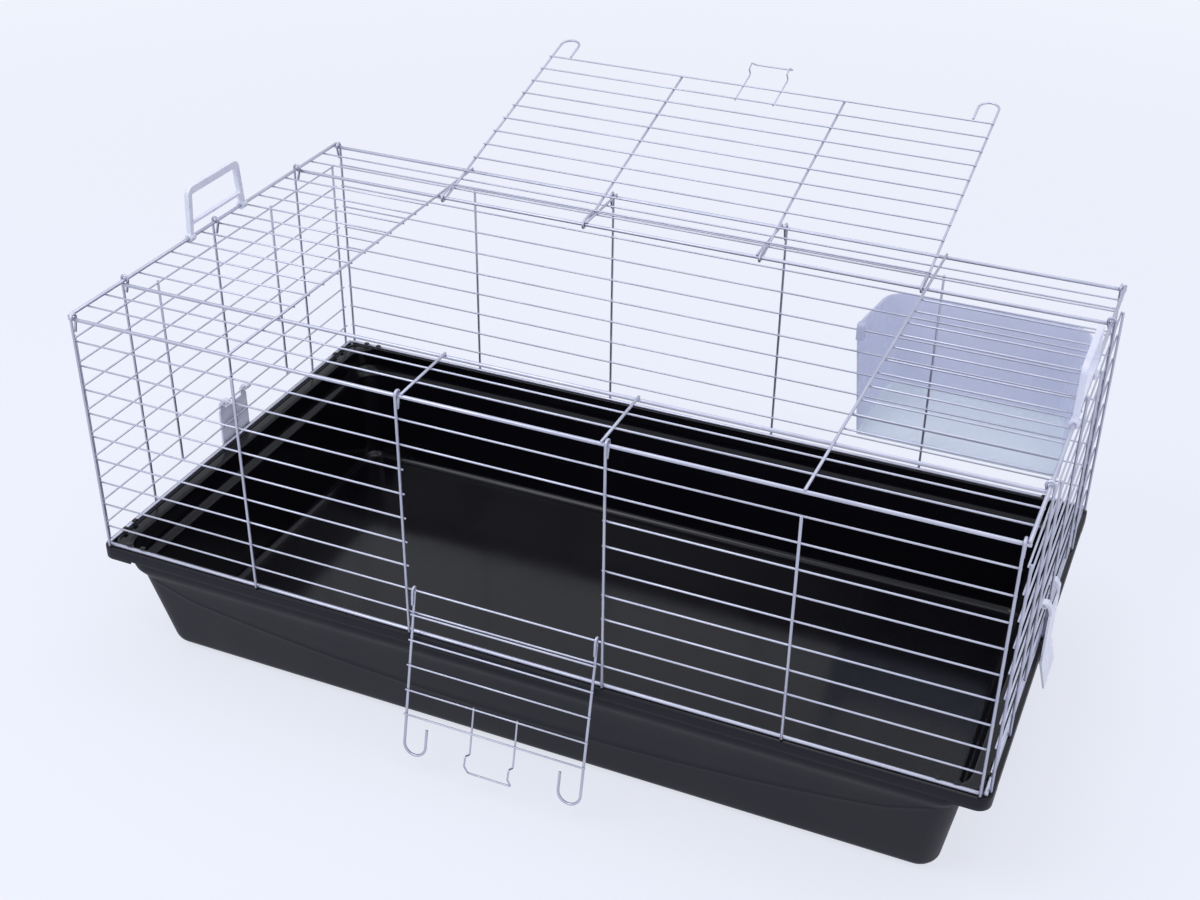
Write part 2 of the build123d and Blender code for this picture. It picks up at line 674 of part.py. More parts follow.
with BuildPart() as hay_rack:
    rack_block(RACK_HIGH_Z, 0, RACK_FLARE)
    rack_floor_cut(0)
    add(rack_space.part, mode=Mode.SUBTRACT)
    rack_front_cut(RACK_FRONT_Y)
    with BuildSketch(Plane.XY.offset(RACK_LOW_Z)) as lip:
        with Locations((RACK_CENTRE_X, RACK_FRONT_Y + RACK_WALL / 2)):
            Rectangle(2 * (RACK_TOP_HALF - RACK_REAR_SHRINK) - RACK_WALL, RACK_WALL)
    extrude(lip.sketch, amount=RACK_LIP)
    bar_y = HALF_WIDTH + BAR_OUT
    bar_z = BAR_HEIGHTS[RACK_HOOK_BAR]
    for side in (-1, 1):
        hook_x = RACK_CENTRE_X + side * (RACK_TOP_HALF - RACK_HOOK_INSET)
        with BuildSketch(Plane.YZ.offset(hook_x)) as hook:
            inner = bar_y - THIN_R - CLIP_FIT
            with BuildLine():
                Polyline(
                    (inner - RACK_WALL, RAIL_HEIGHT + RACK_HOOK_END),
                    (inner, RAIL_HEIGHT + RACK_HOOK_END),
                    (inner, bar_z + THIN_R + RUN_GAP),
                    (RACK_FRONT_Y, bar_z + THIN_R + RUN_GAP),
                    (RACK_FRONT_Y, RAIL_HEIGHT + RACK_HOOK_END),
                    (RACK_FRONT_Y + RACK_WALL, RAIL_HEIGHT + RACK_HOOK_END),
                    (RACK_FRONT_Y + RACK_WALL, RAIL_HEIGHT + RACK_HOOK_TOP),
                    (inner - RACK_WALL, RAIL_HEIGHT + RACK_HOOK_TOP),
                    close=True,
                )
            make_face()
            crest = hook.vertices().group_by(Axis.Y)[-1]
            fillet(crest, RACK_WALL)
        extrude(hook.sketch, amount=RACK_HOOK_WIDTH / 2, both=True)


# Tray: a tapered tub with a collar, a flat rim with a skirt and a ridge inside the rails
def tray_section(height, length, width, corner):
    with BuildSketch(Plane.XY.offset(height)) as section:
        RectangleRounded(length, width, corner)
    return section.sketch


def tray_block(low, high, end_margin, side_margin, corner, mode=Mode.ADD):
    with BuildSketch(Plane.XY.offset(low)) as section:
        RectangleRounded(RIM_LENGTH - 2 * end_margin, RIM_WIDTH - 2 * side_margin, corner)
    extrude(section.sketch, amount=high - low, mode=mode)


# Skirt round the rim's edge
def tray_skirt(drop):
    low = LEDGE_Z - drop
    inner = SKIRT_THICKNESS
    tray_block(low, LEDGE_Z, 0, 0, RIM_R)
    tray_block(low, LEDGE_Z, inner, inner, RIM_R - inner, Mode.SUBTRACT)


# Tapered tub, from its underside up to the collar, with its wall drawn in by inset
def tray_tub(inset):
    length = RIM_LENGTH - 2 * (TUB_END_MARGIN + inset)
    width = RIM_WIDTH - 2 * (TUB_SIDE_MARGIN + inset)
    loft(
        [
            tray_section(
                inset,
                TRAY_BOTTOM_LENGTH - 2 * inset,
                TRAY_BOTTOM_WIDTH - 2 * inset,
                TRAY_BOTTOM_R - inset,
            ),
            tray_section(TUB_TOP_Z + inset, length, width, TRAY_TOP_R - inset),
        ]
    )


# Collar above the tub, with a sloped lower edge
def tray_collar(inset, top):
    end_margin = COLLAR_END_MARGIN + inset
    side_margin = COLLAR_SIDE_MARGIN + inset
    tray_block(TUB_TOP_Z + inset, top, end_margin, side_margin, TRAY_TOP_R - inset)


TUB_TOP_Z = LEDGE_Z - COLLAR_DROP
RIDGE_MARGIN = RAIL_INSET + RAIL_R + RIDGE_GAP
INNER_SLOPE = TRAY_WALL / 2

with BuildPart() as tray_space:
    tray_tub(TRAY_WALL)
    chamfer(tray_space.edges().group_by(Axis.Z)[0], TRAY_EDGE - INNER_SLOPE)
    with BuildPart(mode=Mode.PRIVATE) as collar_space:
        tray_collar(TRAY_WALL, LEDGE_Z + RIDGE_RISE + TRAY_WALL)
        chamfer(collar_space.edges().group_by(Axis.Z)[0], COLLAR_EDGE - INNER_SLOPE)
    add(collar_space.part)

with BuildPart() as tray:
    tray_tub(0)
    chamfer(tray.edges().group_by(Axis.Z)[0], TRAY_EDGE)
    with BuildPart(mode=Mode.PRIVATE) as collar:
        tray_collar(0, LEDGE_Z)
        chamfer(collar.edges().group_by(Axis.Z)[0], COLLAR_EDGE)
    add(collar.part)
    tray_block(LEDGE_Z - RIM_THICKNESS, LEDGE_Z, 0, 0, RIM_R)
    with BuildPart(mode=Mode.PRIVATE) as skirt:
        tray_skirt(SKIRT_DROP)
    add(skirt.part)
    with BuildPart(mode=Mode.PRIVATE) as corners:
        tray_skirt(CORNER_DROP)
        with BuildSketch(Plane.XY.offset(LEDGE_Z - CORNER_DROP)) as middle:
            Rectangle(RIM_LENGTH - 2 * CORNER_LENGTH, RIM_WIDTH)
            Rectangle(RIM_LENGTH, RIM_WIDTH - 2 * CORNER_LENGTH)
        extrude(middle.sketch, amount=CORNER_DROP, mode=Mode.SUBTRACT)
    add(corners.part)
    with BuildPart(mode=Mode.PRIVATE) as ridge:
        inner_margin = RIDGE_MARGIN + RIDGE_THICKNESS
        inner_r = RIM_R - RIDGE_THICKNESS
        top = LEDGE_Z + RIDGE_RISE
        tray_block(LEDGE_Z, top, RIDGE_MARGIN, RIDGE_MARGIN, RIM_R)
        tray_block(LEDGE_Z, top, inner_margin, inner_margin, inner_r, Mode.SUBTRACT)
    add(ridge.part)
    add(tray_space.part, mode=Mode.SUBTRACT)
    nub_low = RAIL_HEIGHT + RAIL_R + RUN_GAP
    nub_x = RIM_LENGTH / 2 - RIDGE_MARGIN - RIDGE_THICKNESS
    nub_y = RIM_WIDTH / 2 - RIDGE_MARGIN - RIDGE_THICKNESS
    nub_reach = RIDGE_THICKNESS + RIDGE_GAP + RAIL_R
    with BuildSketch(Plane.XY.offset(nub_low)) as nubs:
        for sx in (-1, 1):
            for sy in (-1, 1):
                for inset in (NUB_INNER, NUB_OUTER):
                    with Locations((sx * (nub_x - inset), sy * (nub_y + nub_reach / 2))):
                        Rectangle(NUB_WIDTH, nub_reach)
                    with Locations((sx * (nub_x + nub_reach / 2), sy * (nub_y - inset))):
                        Rectangle(nub_reach, NUB_WIDTH)
    extrude(nubs.sketch, amount=NUB_THICKNESS)
    with BuildSketch(Plane.XY.offset(LEDGE_Z)) as stems:
        for sx in (-1, 1):
            for sy in (-1, 1):
                for inset in (NUB_INNER, NUB_OUTER):
                    with Locations((sx * (nub_x - inset), sy * (nub_y + RIDGE_THICKNESS / 2))):
                        Rectangle(NUB_WIDTH, RIDGE_THICKNESS)
                    with Locations((sx * (nub_x + RIDGE_THICKNESS / 2), sy * (nub_y - inset))):
                        Rectangle(RIDGE_THICKNESS, NUB_WIDTH)
    extrude(stems.sketch, amount=nub_low - LEDGE_Z + NUB_THICKNESS)
    slot_z = LEDGE_Z - RIM_THICKNESS - SLOT_HEIGHT / 2
    with BuildSketch(Plane.XZ.offset(RIM_WIDTH / 2 - SKIRT_THICKNESS * 2)) as front_slots:
        for dx in (-SLOT_SPACING, SLOT_SPACING):
            with Locations((SLOT_CENTRE_X + dx, slot_z)):
                Rectangle(SLOT_LENGTH, SLOT_HEIGHT)
    extrude(front_slots.sketch, amount=SKIRT_THICKNESS * 2, mode=Mode.SUBTRACT)

# Names and files
NODES = {
    "tray": tray,
    "front_uprights": front_uprights,
    "front_bars": front_bars,
    "front_bottom_rail": front_bottom_rail,
    "back_uprights": back_uprights,
    "back_bars": back_bars,
    "back_bottom_rail": back_bottom_rail,
    "left_uprights": left_uprights,
    "left_bars": left_bars,
    "left_bottom_rail": left_bottom_rail,
    "right_uprights": right_uprights,
    "right_bars": right_bars,
    "right_bottom_rail": right_bottom_rail,
    "roof_side_rails": roof_side_rails,
    "roof_cross_rails": roof_cross_rails,
    "roof_dividers": roof_dividers,
    "roof_stubs": roof_stubs,
    "roof_cross_wires": roof_cross_wires,
    "roof_side_wires": roof_side_wires,
    "roof_hinge_wire": roof_hinge_wire,
    "roof_border_wire": roof_border_wire,
    "roof_door_side_wires": roof_door_side_wires,
    "roof_door_inner_wires": roof_door_inner_wires,
    "roof_door_bars": roof_door_bars,
    "roof_door_catch": roof_door_catch,
    "front_door_side_wires": front_door_side_wires,
    "front_door_bars": front_door_bars,
    "front_door_catch": front_door_catch,
    "left_handle": left_handle,
    "right_handle": right_handle,
    "left_latch": left_latch,
    "right_latch": right_latch,
    "hay_rack": hay_rack,
}
for name, builder in NODES.items():
    builder.part.label = name
    export_step(builder.part, f"parts/{name}.step")
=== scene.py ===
"""Looks of a folding wire rabbit cage on a deep plastic tray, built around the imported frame."""

import logging
import math
from dataclasses import dataclass, field
from enum import Enum
from typing import Optional, Union

import bpy
import numpy as np
from mathutils import Matrix, Vector


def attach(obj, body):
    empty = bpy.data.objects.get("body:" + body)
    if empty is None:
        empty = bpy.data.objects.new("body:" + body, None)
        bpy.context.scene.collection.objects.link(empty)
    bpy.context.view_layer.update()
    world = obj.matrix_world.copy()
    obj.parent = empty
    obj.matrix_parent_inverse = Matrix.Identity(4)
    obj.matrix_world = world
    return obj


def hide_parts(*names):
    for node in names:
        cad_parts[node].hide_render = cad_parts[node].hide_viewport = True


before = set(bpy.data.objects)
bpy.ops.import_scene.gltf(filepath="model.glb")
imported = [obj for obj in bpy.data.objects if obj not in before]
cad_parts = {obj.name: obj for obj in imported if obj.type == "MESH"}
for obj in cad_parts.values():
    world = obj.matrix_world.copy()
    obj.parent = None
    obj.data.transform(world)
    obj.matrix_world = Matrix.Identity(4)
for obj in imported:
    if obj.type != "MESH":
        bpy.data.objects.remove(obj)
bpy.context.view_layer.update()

LOG = logging.getLogger("rabbit_cage")
MM = 0.001
Array = np.ndarray
Pair = tuple[float, float]
Point = tuple[float, float, float]
Faces = list[tuple[int, ...]]
Shape = tuple[Array, Faces]
Wire = tuple[Array, float]  # centre line in metres, radius in millimetres


# Colours and node helpers


Rgba = tuple[float, float, float, float]
Material = bpy.types.Material
Shader = bpy.types.ShaderNode
Socket = bpy.types.NodeSocket
Tree = bpy.types.NodeTree


def linear(hex_colour: str) -> Rgba:
    """Turns an sRGB hex colour into linear values.

    Args:
        hex_colour: Six hex digits after a hash sign.

    Returns:
        Red, green and blue, linear, and an alpha of 1.
    """
    digits = hex_colour.lstrip("#")
    channels = [int(digits[i : i + 2], 16) / 255 for i in (0, 2, 4)]
    r, g, b = [c / 12.92 if c <= 0.04045 else ((c + 0.055) / 1.055) ** 2.4 for c in channels]
    return r, g, b, 1.0


def grey(value: float) -> Rgba:
    """Returns a grey of that linear value."""
    return value, value, value, 1.0


def add_node(
    tree: Tree,
    kind: str,
    settings: Optional[dict[Union[str, int], object]] = None,
    links: Optional[dict[Union[str, int], Socket]] = None,
    props: Optional[dict[str, object]] = None,
) -> Shader:
    """Adds a node with its settings and links.

    Args:
        tree: Node tree that gets the node.
        kind: Blender's name of the node type, after ShaderNode.
        settings: Default values by the input's name or number.
        links: Output sockets by the name or number of the input they feed.
        props: Node properties by name.

    Returns:
        The new node.
    """
    node = tree.nodes.new(f"ShaderNode{kind}")
    for name, value in (props or {}).items():
        setattr(node, name, value)
    for name, value in (settings or {}).items():
        node.inputs[name].default_value = value
    for name, socket in (links or {}).items():
        tree.links.new(socket, node.inputs[name])
    return node


def blank_material(name: str) -> tuple[Material, Tree]:
    """Returns a new node material and its empty node tree."""
    material = bpy.data.materials.new(name)
    material.use_nodes = True
    material.node_tree.nodes.clear()
    return material, material.node_tree


def close_material(material: Material, shader: Shader) -> Material:
    """Links a shader to the material's output and returns the material."""
    add_node(material.node_tree, "OutputMaterial", links={"Surface": shader.outputs[0]})
    return material


def noise(tree: Tree, scale: float, detail: float, roughness: float) -> Socket:
    """Adds noise over the object's own coordinates.

    Args:
        tree: Node tree that gets the nodes.
        scale: Rough number of blotches per metre.
        detail: Number of finer layers.
        roughness: Strength of the finer layers.

    Returns:
        The noise value.
    """
    place = add_node(tree, "TexCoord").outputs["Object"]
    settings = {"Scale": scale, "Detail": detail, "Roughness": roughness}
    return add_node(tree, "TexNoise", settings, {"Vector": place}).outputs[0]


def ramp(tree: Tree, source: Socket, low: tuple[float, Rgba], high: tuple[float, Rgba]) -> Socket:
    """Adds a colour ramp of two stops.

    Args:
        tree: Node tree that gets the node.
        source: Value that drives the ramp.
        low: Position and colour of the first stop.
        high: Position and colour of the second stop.

    Returns:
        The colour.
    """
    node = add_node(tree, "ValToRGB", links={"Fac": source})
    for element, (place, colour) in zip(node.color_ramp.elements, (low, high)):
        element.position = place
        element.color = colour
    return node.outputs[0]


def bump(tree: Tree, height: Socket, strength: float, distance: float) -> Socket:
    """Adds a bump of the given strength and depth in metres and returns its normal."""
    settings = {"Strength": strength, "Distance": distance}
    return add_node(tree, "Bump", settings, {"Height": height}).outputs[0]


def mix(tree: Tree, share: Union[float, Socket], low: Shader, high: Shader) -> Shader:
    """Mixes two shaders, with the given share of the second."""
    node = add_node(tree, "MixShader", links={1: low.outputs[0], 2: high.outputs[0]})
    if isinstance(share, float):
        node.inputs[0].default_value = share
    else:
        tree.links.new(share, node.inputs[0])
    return node


# Finishes

PLASTIC_IOR = 1.49


@dataclass(frozen=True)
class ZincWire:
    """Bright zinc-plated drawn steel wire: a cool silver with a soft gloss.

    The draw lines along the wire are too fine to show, so only slow changes of
    gloss and a faint cloudiness of the plating are drawn.
    """

    name: str = "zinc_plated_steel_wire"
    bright: str = "#c4c6d4"
    dull: str = "#b6b8c8"
    cloud_mm: float = 60.0
    roughness: Pair = (0.36, 0.46)
    metal: float = 0.85

    def build(self) -> Material:
        """Returns the wire material."""
        material, tree = blank_material(self.name)
        cloud = noise(tree, 1000 / self.cloud_mm, 2.0, 0.6)
        smooth, rough = self.roughness
        looks = {
            "Base Color": ramp(tree, cloud, (0.3, linear(self.dull)), (0.7, linear(self.bright))),
            "Roughness": ramp(tree, cloud, (0.3, grey(rough)), (0.7, grey(smooth))),
        }
        shader = add_node(tree, "BsdfPrincipled", {"Metallic": self.metal}, looks)
        return close_material(material, shader)


@dataclass(frozen=True)
class TrayPlastic:
    """Injection-moulded polypropylene, near black: fine satin outside, polished inside."""

    name: str
    base: str
    worn: str
    roughness: Pair
    grain_mm: float
    grain_depth_mm: float
    shine: float
    patches: float = 9.0
    grain_strength: float = 0.35

    def build(self) -> Material:
        """Returns the tray material."""
        material, tree = blank_material(self.name)
        grain = noise(tree, 1000 / self.grain_mm, 3.0, 0.6)
        patches = noise(tree, self.patches, 4.0, 0.55)
        smooth, rough = self.roughness
        looks = {
            "Base Color": ramp(tree, patches, (0.35, linear(self.base)), (0.72, linear(self.worn))),
            "Roughness": ramp(tree, patches, (0.3, grey(smooth)), (0.75, grey(rough))),
            "Normal": bump(tree, grain, self.grain_strength, self.grain_depth_mm * MM),
        }
        settings = {"IOR": PLASTIC_IOR, "Specular IOR Level": self.shine}
        return close_material(material, add_node(tree, "BsdfPrincipled", settings, looks))


@dataclass(frozen=True)
class WhitePlastic:
    """Moulded white polypropylene of the handles and latches: smooth, slightly milky."""

    name: str = "moulded_white_polypropylene"
    base: str = "#f1f3fb"
    shade: str = "#e8eaf6"
    roughness: Pair = (0.26, 0.36)
    flow: float = 45.0
    grain: float = 900.0
    milk: float = 0.15

    def build(self) -> Material:
        """Returns the white plastic material."""
        material, tree = blank_material(self.name)
        flow = noise(tree, self.flow, 2.0, 0.5)
        smooth, rough = self.roughness
        looks = {
            "Base Color": ramp(tree, flow, (0.3, linear(self.shade)), (0.65, linear(self.base))),
            "Roughness": ramp(tree, flow, (0.3, grey(rough)), (0.7, grey(smooth))),
            "Normal": bump(tree, noise(tree, self.grain, 2.0, 0.5), 0.12, 0.0002),
        }
        settings = {
            "IOR": PLASTIC_IOR,
            "Subsurface Weight": self.milk,
            "Subsurface Radius": (0.004, 0.004, 0.005),
            "Subsurface Scale": 0.5,
        }
        return close_material(material, add_node(tree, "BsdfPrincipled", settings, looks))


@dataclass(frozen=True)
class RackPlastic:
    """Thin natural polypropylene with a cool tint: lets soft light through, smooth gloss."""

    name: str = "translucent_blue_polypropylene"
    # Wall and floor colours of one plastic: the floor's paler colour is painted light, for the stronger
    # lamp light on the up-facing floor.
    walls: str = "#eceefa"
    floor: str = "#f7fcff"
    through: str = "#eaf0fb"
    roughness: Pair = (0.22, 0.3)
    flow: float = 30.0
    milk: float = 0.42
    clear: float = 0.16
    slope: float = 0.251
    floor_at: Pair = (0.2715, 0.18)
    painted_light_edge: Pair = (0.001, 0.006)

    def build(self) -> Material:
        """Returns the hay rack material.

        The sloping floor is painted paler than the walls, as painted light on the
        up-facing floor: the height over the floor's plane, the height less the
        slope times the depth, turns one colour into the other within a few
        millimetres.
        """
        material, tree = blank_material(self.name)
        place = add_node(tree, "TexCoord").outputs["Object"]
        uphill = {1: (0.0, -self.slope, 1.0)}
        over = add_node(tree, "VectorMath", uphill, {0: place}, {"operation": "DOT_PRODUCT"})
        start = self.floor_at[1] - self.slope * self.floor_at[0]
        span = {"From Min": start + self.painted_light_edge[0], "From Max": start + self.painted_light_edge[1]}
        # Mask of the painted light: 0 on the floor, rising to 1 on the walls within a few millimetres.
        height = add_node(tree, "MapRange", span, {"Value": over.outputs["Value"]}).outputs[0]
        smooth, rough = self.roughness
        # Painted light: the paler colour on the floor, the walls' colour above it.
        colour = ramp(tree, height, (0.0, linear(self.floor)), (1.0, linear(self.walls)))
        gloss = ramp(tree, noise(tree, self.flow, 3.0, 0.5), (0.3, grey(smooth)), (0.7, grey(rough)))
        looks = {"Base Color": colour, "Roughness": gloss}
        skin = add_node(tree, "BsdfPrincipled", {"IOR": PLASTIC_IOR}, looks)
        glow = add_node(tree, "BsdfTranslucent", links={"Color": colour})
        clear = add_node(tree, "BsdfTransparent", {"Color": linear(self.through)})
        return close_material(material, mix(tree, self.clear, mix(tree, self.milk, skin, glow), clear))


# Mesh helpers

CAP_BULGE = 0.45  # how far a wire's end is rounded, over the wire's radius
CAP_RINGS = ((0.9, 0.55), (0.55, 0.88))  # each smaller ring: share of that length, share of the radius
WIRE_SIDES = 12
RAIL_SIDES = 16
CATCH_SIDES = 10


def make_object(
    name: str,
    vertices: Array,
    faces: Faces,
    materials: list[Material],
    slots: Optional[Array] = None,
    smooth_angle: float = 40.0,
) -> bpy.types.Object:
    """Makes a mesh object from arrays.

    Args:
        name: Object name.
        vertices: Points in metres, one row each.
        faces: Point numbers of each face, turning so that it faces outwards.
        materials: Materials in slot order.
        slots: Slot number of each face.
        smooth_angle: Edges sharper than this stay sharp, in degrees.

    Returns:
        The linked object.
    """
    mesh = bpy.data.meshes.new(name)
    mesh.from_pydata(vertices.tolist(), [], faces)
    if slots is not None:
        mesh.polygons.foreach_set("material_index", slots.astype(np.int32))
    mesh.polygons.foreach_set("use_smooth", np.ones(len(mesh.polygons), bool))
    mesh.validate()
    mesh.update()
    mesh.set_sharp_from_angle(angle=math.radians(smooth_angle))
    for material in materials:
        mesh.materials.append(material)
    obj = bpy.data.objects.new(name, mesh)
    bpy.context.scene.collection.objects.link(obj)
    return obj


def fillet_path(points: Array, radii: Array, step: float = 0.16) -> Array:
    """Rounds the corners of a run of points.

    At each corner two tangent points lie radius times the tangent of half the
    turn from the corner; between them the path follows the arc that touches
    both runs, in steps of about the given angle.

    Args:
        points: Corners in metres, one row each.
        radii: Bend radius at each inner corner.
        step: Angle between arc points, in radians.

    Returns:
        Points along the rounded path.
    """
    out = [points[0]]
    for corner, before, after, radius in zip(points[1:-1], points[:-2], points[2:], radii):
        a = (before - corner) / np.linalg.norm(before - corner)
        b = (after - corner) / np.linalg.norm(after - corner)
        turn = math.pi - math.acos(float(np.clip(a @ b, -1, 1)))
        if turn < 1e-4 or radius <= 0:
            out.append(corner)
            continue
        tangent = radius * math.tan(turn / 2)
        bisector = (a + b) / np.linalg.norm(a + b)
        centre = corner + bisector * radius / math.cos(turn / 2)
        start = corner + a * tangent - centre
        count = max(2, int(math.ceil(turn / step)))
        t = np.linspace(0, turn, count + 1)[:, None]
        side = -a * radius
        arc = centre + start * np.cos(t) + side * np.sin(t)
        out.extend(arc)
    out.append(points[-1])
    return np.array(out)


def tube_frames(path: Array, up: Array) -> tuple[Array, Array]:
    """Gives two directions across a path at each point.

    The first direction starts along ``up`` and is carried along the path by
    taking out, at each point, its part along the path's direction.

    Args:
        path: Points along the centre line.
        up: Direction that the first axis starts near.

    Returns:
        The first and second directions, one row per point.
    """
    ahead = np.diff(path, axis=0)
    ahead /= np.linalg.norm(ahead, axis=1, keepdims=True)
    tangent = np.vstack([ahead[:1], ahead[:-1] + ahead[1:], ahead[-1:]])
    tangent /= np.linalg.norm(tangent, axis=1, keepdims=True)
    first = np.zeros_like(tangent)
    current = up
    for i, direction in enumerate(tangent):
        current = current - direction * (current @ direction)
        current = current / np.linalg.norm(current)
        first[i] = current
    return first, np.cross(tangent, first)


def end_rings(tip: Array, inward: Array, around: Array, radius: float) -> Array:
    """Returns the smaller rings of a rounded wire end.

    Args:
        tip: End of the centre line.
        inward: Direction from the tip along the wire.
        around: Directions round the wire.
        radius: Wire radius in metres.

    Returns:
        The rings, from the tip inwards.
    """
    bulge = CAP_BULGE * radius
    return np.stack([tip + inward * bulge * (1 - far) + radius * wide * around for far, wide in CAP_RINGS])


def skin(rings: int, count: int) -> Faces:
    """Returns the four-sided faces between rings of ``count`` points, ring after ring."""
    i = np.arange(rings - 1)[:, None] * count
    j = np.arange(count)[None]
    k = (j + 1) % count
    quads = np.stack([i + j, i + k, i + count + k, i + count + j], -1).reshape(-1, 4)
    return [tuple(q) for q in quads.tolist()]


def sweep(path: Array, radius: float, sides: int) -> Shape:
    """Carries a circle along a path and rounds its ends.

    A point of the surface is the path point plus radius times (cosine of the
    angle times the first direction plus sine times the second). Each end has
    two smaller rings and a pole.

    Args:
        path: Points along the centre line, in metres.
        radius: Wire radius in metres.
        sides: Faces round the wire.

    Returns:
        Points and faces of a closed tube.
    """
    start, end = path[1] - path[0], path[-1] - path[-2]
    start, end = start / np.linalg.norm(start), end / np.linalg.norm(end)
    up = np.array([0.0, 0.0, 1.0]) if abs(start[2]) < 0.8 else np.array([0.0, 1.0, 0.0])
    first, second = tube_frames(path, up)
    angle = np.linspace(0, 2 * math.pi, sides, endpoint=False)
    around = np.cos(angle)[None, :, None] * first[:, None] + np.sin(angle)[None, :, None] * second[:, None]
    body = path[:, None] + radius * around
    body[0] += start * CAP_BULGE * radius
    body[-1] -= end * CAP_BULGE * radius
    lead = end_rings(path[0], start, around[0], radius)
    tail = end_rings(path[-1], -end, around[-1], radius)[::-1]
    rings = np.concatenate([lead, body, tail])
    vertices = np.concatenate([rings.reshape(-1, 3), path[:1], path[-1:]])
    faces = skin(len(rings), sides)
    last = (len(rings) - 1) * sides
    south, north = last + sides, last + sides + 1
    faces += [(south, (s + 1) % sides, s) for s in range(sides)]
    faces += [(north, last + s, last + (s + 1) % sides) for s in range(sides)]
    return vertices, faces


def join_shapes(shapes: list[Shape]) -> Shape:
    """Joins closed shapes, in order, into one set of points and faces."""
    vertices: list[Array] = []
    faces: Faces = []
    count = 0
    for points, loops in shapes:
        vertices.append(points)
        faces += [tuple(v + count for v in loop) for loop in loops]
        count += len(points)
    return np.concatenate(vertices), faces


def line(start: Point, end: Point) -> Array:
    """Returns a straight path between two points given in millimetres."""
    return np.array([start, end]) * MM


# Sizes that the sub-assemblies share


@dataclass(frozen=True)
class CageSizes:
    """Sizes of the whole cage in millimetres, the same as in the solid model."""

    rim_length: float = 1000.0
    rim_width: float = 540.0
    rail_inset: float = 6.5
    rail_height: float = 151.0
    wall_rise: float = 281.0
    thin: float = 1.0
    main: float = 1.5
    rail: float = 2.0
    catch: float = 1.0
    weld: float = 0.3
    gap: float = 0.3
    bar_count: int = 9
    bar_pitch: float = 28.9
    first_bar: float = 25.2
    hinge_bar: int = 1
    door_first: int = 2
    door_last: int = 6
    front_posts: tuple[float, ...] = (489.0, 109.2)
    front_short: float = 297.0
    end_corner: float = 256.5
    end_hook: float = 171.2
    end_middle: float = 113.5
    end_centre: float = -3.0
    hook_width: float = 9.0
    hook_rise: float = 5.2
    hook_length: float = 20.0
    hook_end: float = 3.9
    hook_bend: float = 3.8
    roof_inset: float = 0.6
    roof_steps: int = 18
    hinge_step: int = 3
    border_step: int = 15
    divider: float = 297.5
    stub: float = 104.0
    whole_steps: tuple[int, ...] = (1, 2, 16, 17)
    tail: float = 1.5

    @property
    def half_length(self) -> float:
        """Distance from the middle to the end walls' bottom rails."""
        return self.rim_length / 2 - self.rail_inset

    @property
    def half_width(self) -> float:
        """Distance from the middle to the long walls' bottom rails."""
        return self.rim_width / 2 - self.rail_inset

    @property
    def post_foot(self) -> float:
        """Height of the feet of the uprights that stand on the bottom rails."""
        return self.rail_height - 1

    @property
    def post_out(self) -> float:
        """How far the uprights lie outside the bottom rails."""
        return self.rail + self.main - self.weld

    @property
    def bar_out(self) -> float:
        """How far the thin bars lie outside the bottom rails."""
        return self.post_out - (self.main + self.thin - self.weld)

    @property
    def bars(self) -> list[float]:
        """Heights of the wall bars, lowest first."""
        return [self.rail_height + self.first_bar + i * self.bar_pitch for i in range(self.bar_count)]

    @property
    def roof_x(self) -> float:
        """Distance from the middle to the roof's side rails."""
        return self.half_length - self.roof_inset

    @property
    def roof_y(self) -> float:
        """Distance from the middle to the roof's front and rear rails."""
        return self.half_width - self.roof_inset

    @property
    def cross_z(self) -> float:
        """Height of the roof's front and rear rails."""
        return self.rail_height + self.wall_rise

    @property
    def top_z(self) -> float:
        """Height of the top of the roof's cross wires."""
        return self.cross_z + self.rail

    @property
    def side_z(self) -> float:
        """Height of the roof's side rails."""
        return self.top_z - self.weld + self.rail

    @property
    def divider_z(self) -> float:
        """Height of the dividers and stubs."""
        return self.top_z - self.weld + self.main

    def roof_step(self, step: int) -> float:
        """Returns the place of a roof cross wire, counted from the rear."""
        return self.roof_y - step * 2 * self.roof_y / self.roof_steps


SIZES = CageSizes()


def wire_piece(
    node: str, body: str, wires: list[Wire], material: Material, sides: int = WIRE_SIDES
) -> None:
    """Makes one piece of round wires that replaces a node of the frame.

    Args:
        node: Name of the node.
        body: Body that the piece rides on.
        wires: Centre lines and radii.
        material: Wire finish.
        sides: Faces round each wire.
    """
    points, faces = join_shapes([sweep(path, radius * MM, sides) for path, radius in wires])
    piece = make_object(f"{node}_round", points, faces, [material])
    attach(piece, body)
    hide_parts(node)
    LOG.info("%s: %d wires", node, len(wires))


# Walls


class Wall(Enum):
    """The four walls."""

    FRONT = ("front", -1, True)
    BACK = ("back", 1, True)
    LEFT = ("left", -1, False)
    RIGHT = ("right", 1, False)

    def __init__(self, label: str, side: int, is_long: bool) -> None:
        """Keeps the wall's name, the sign of its direction from the middle, and its kind."""
        self.label, self.side, self.is_long = label, side, is_long


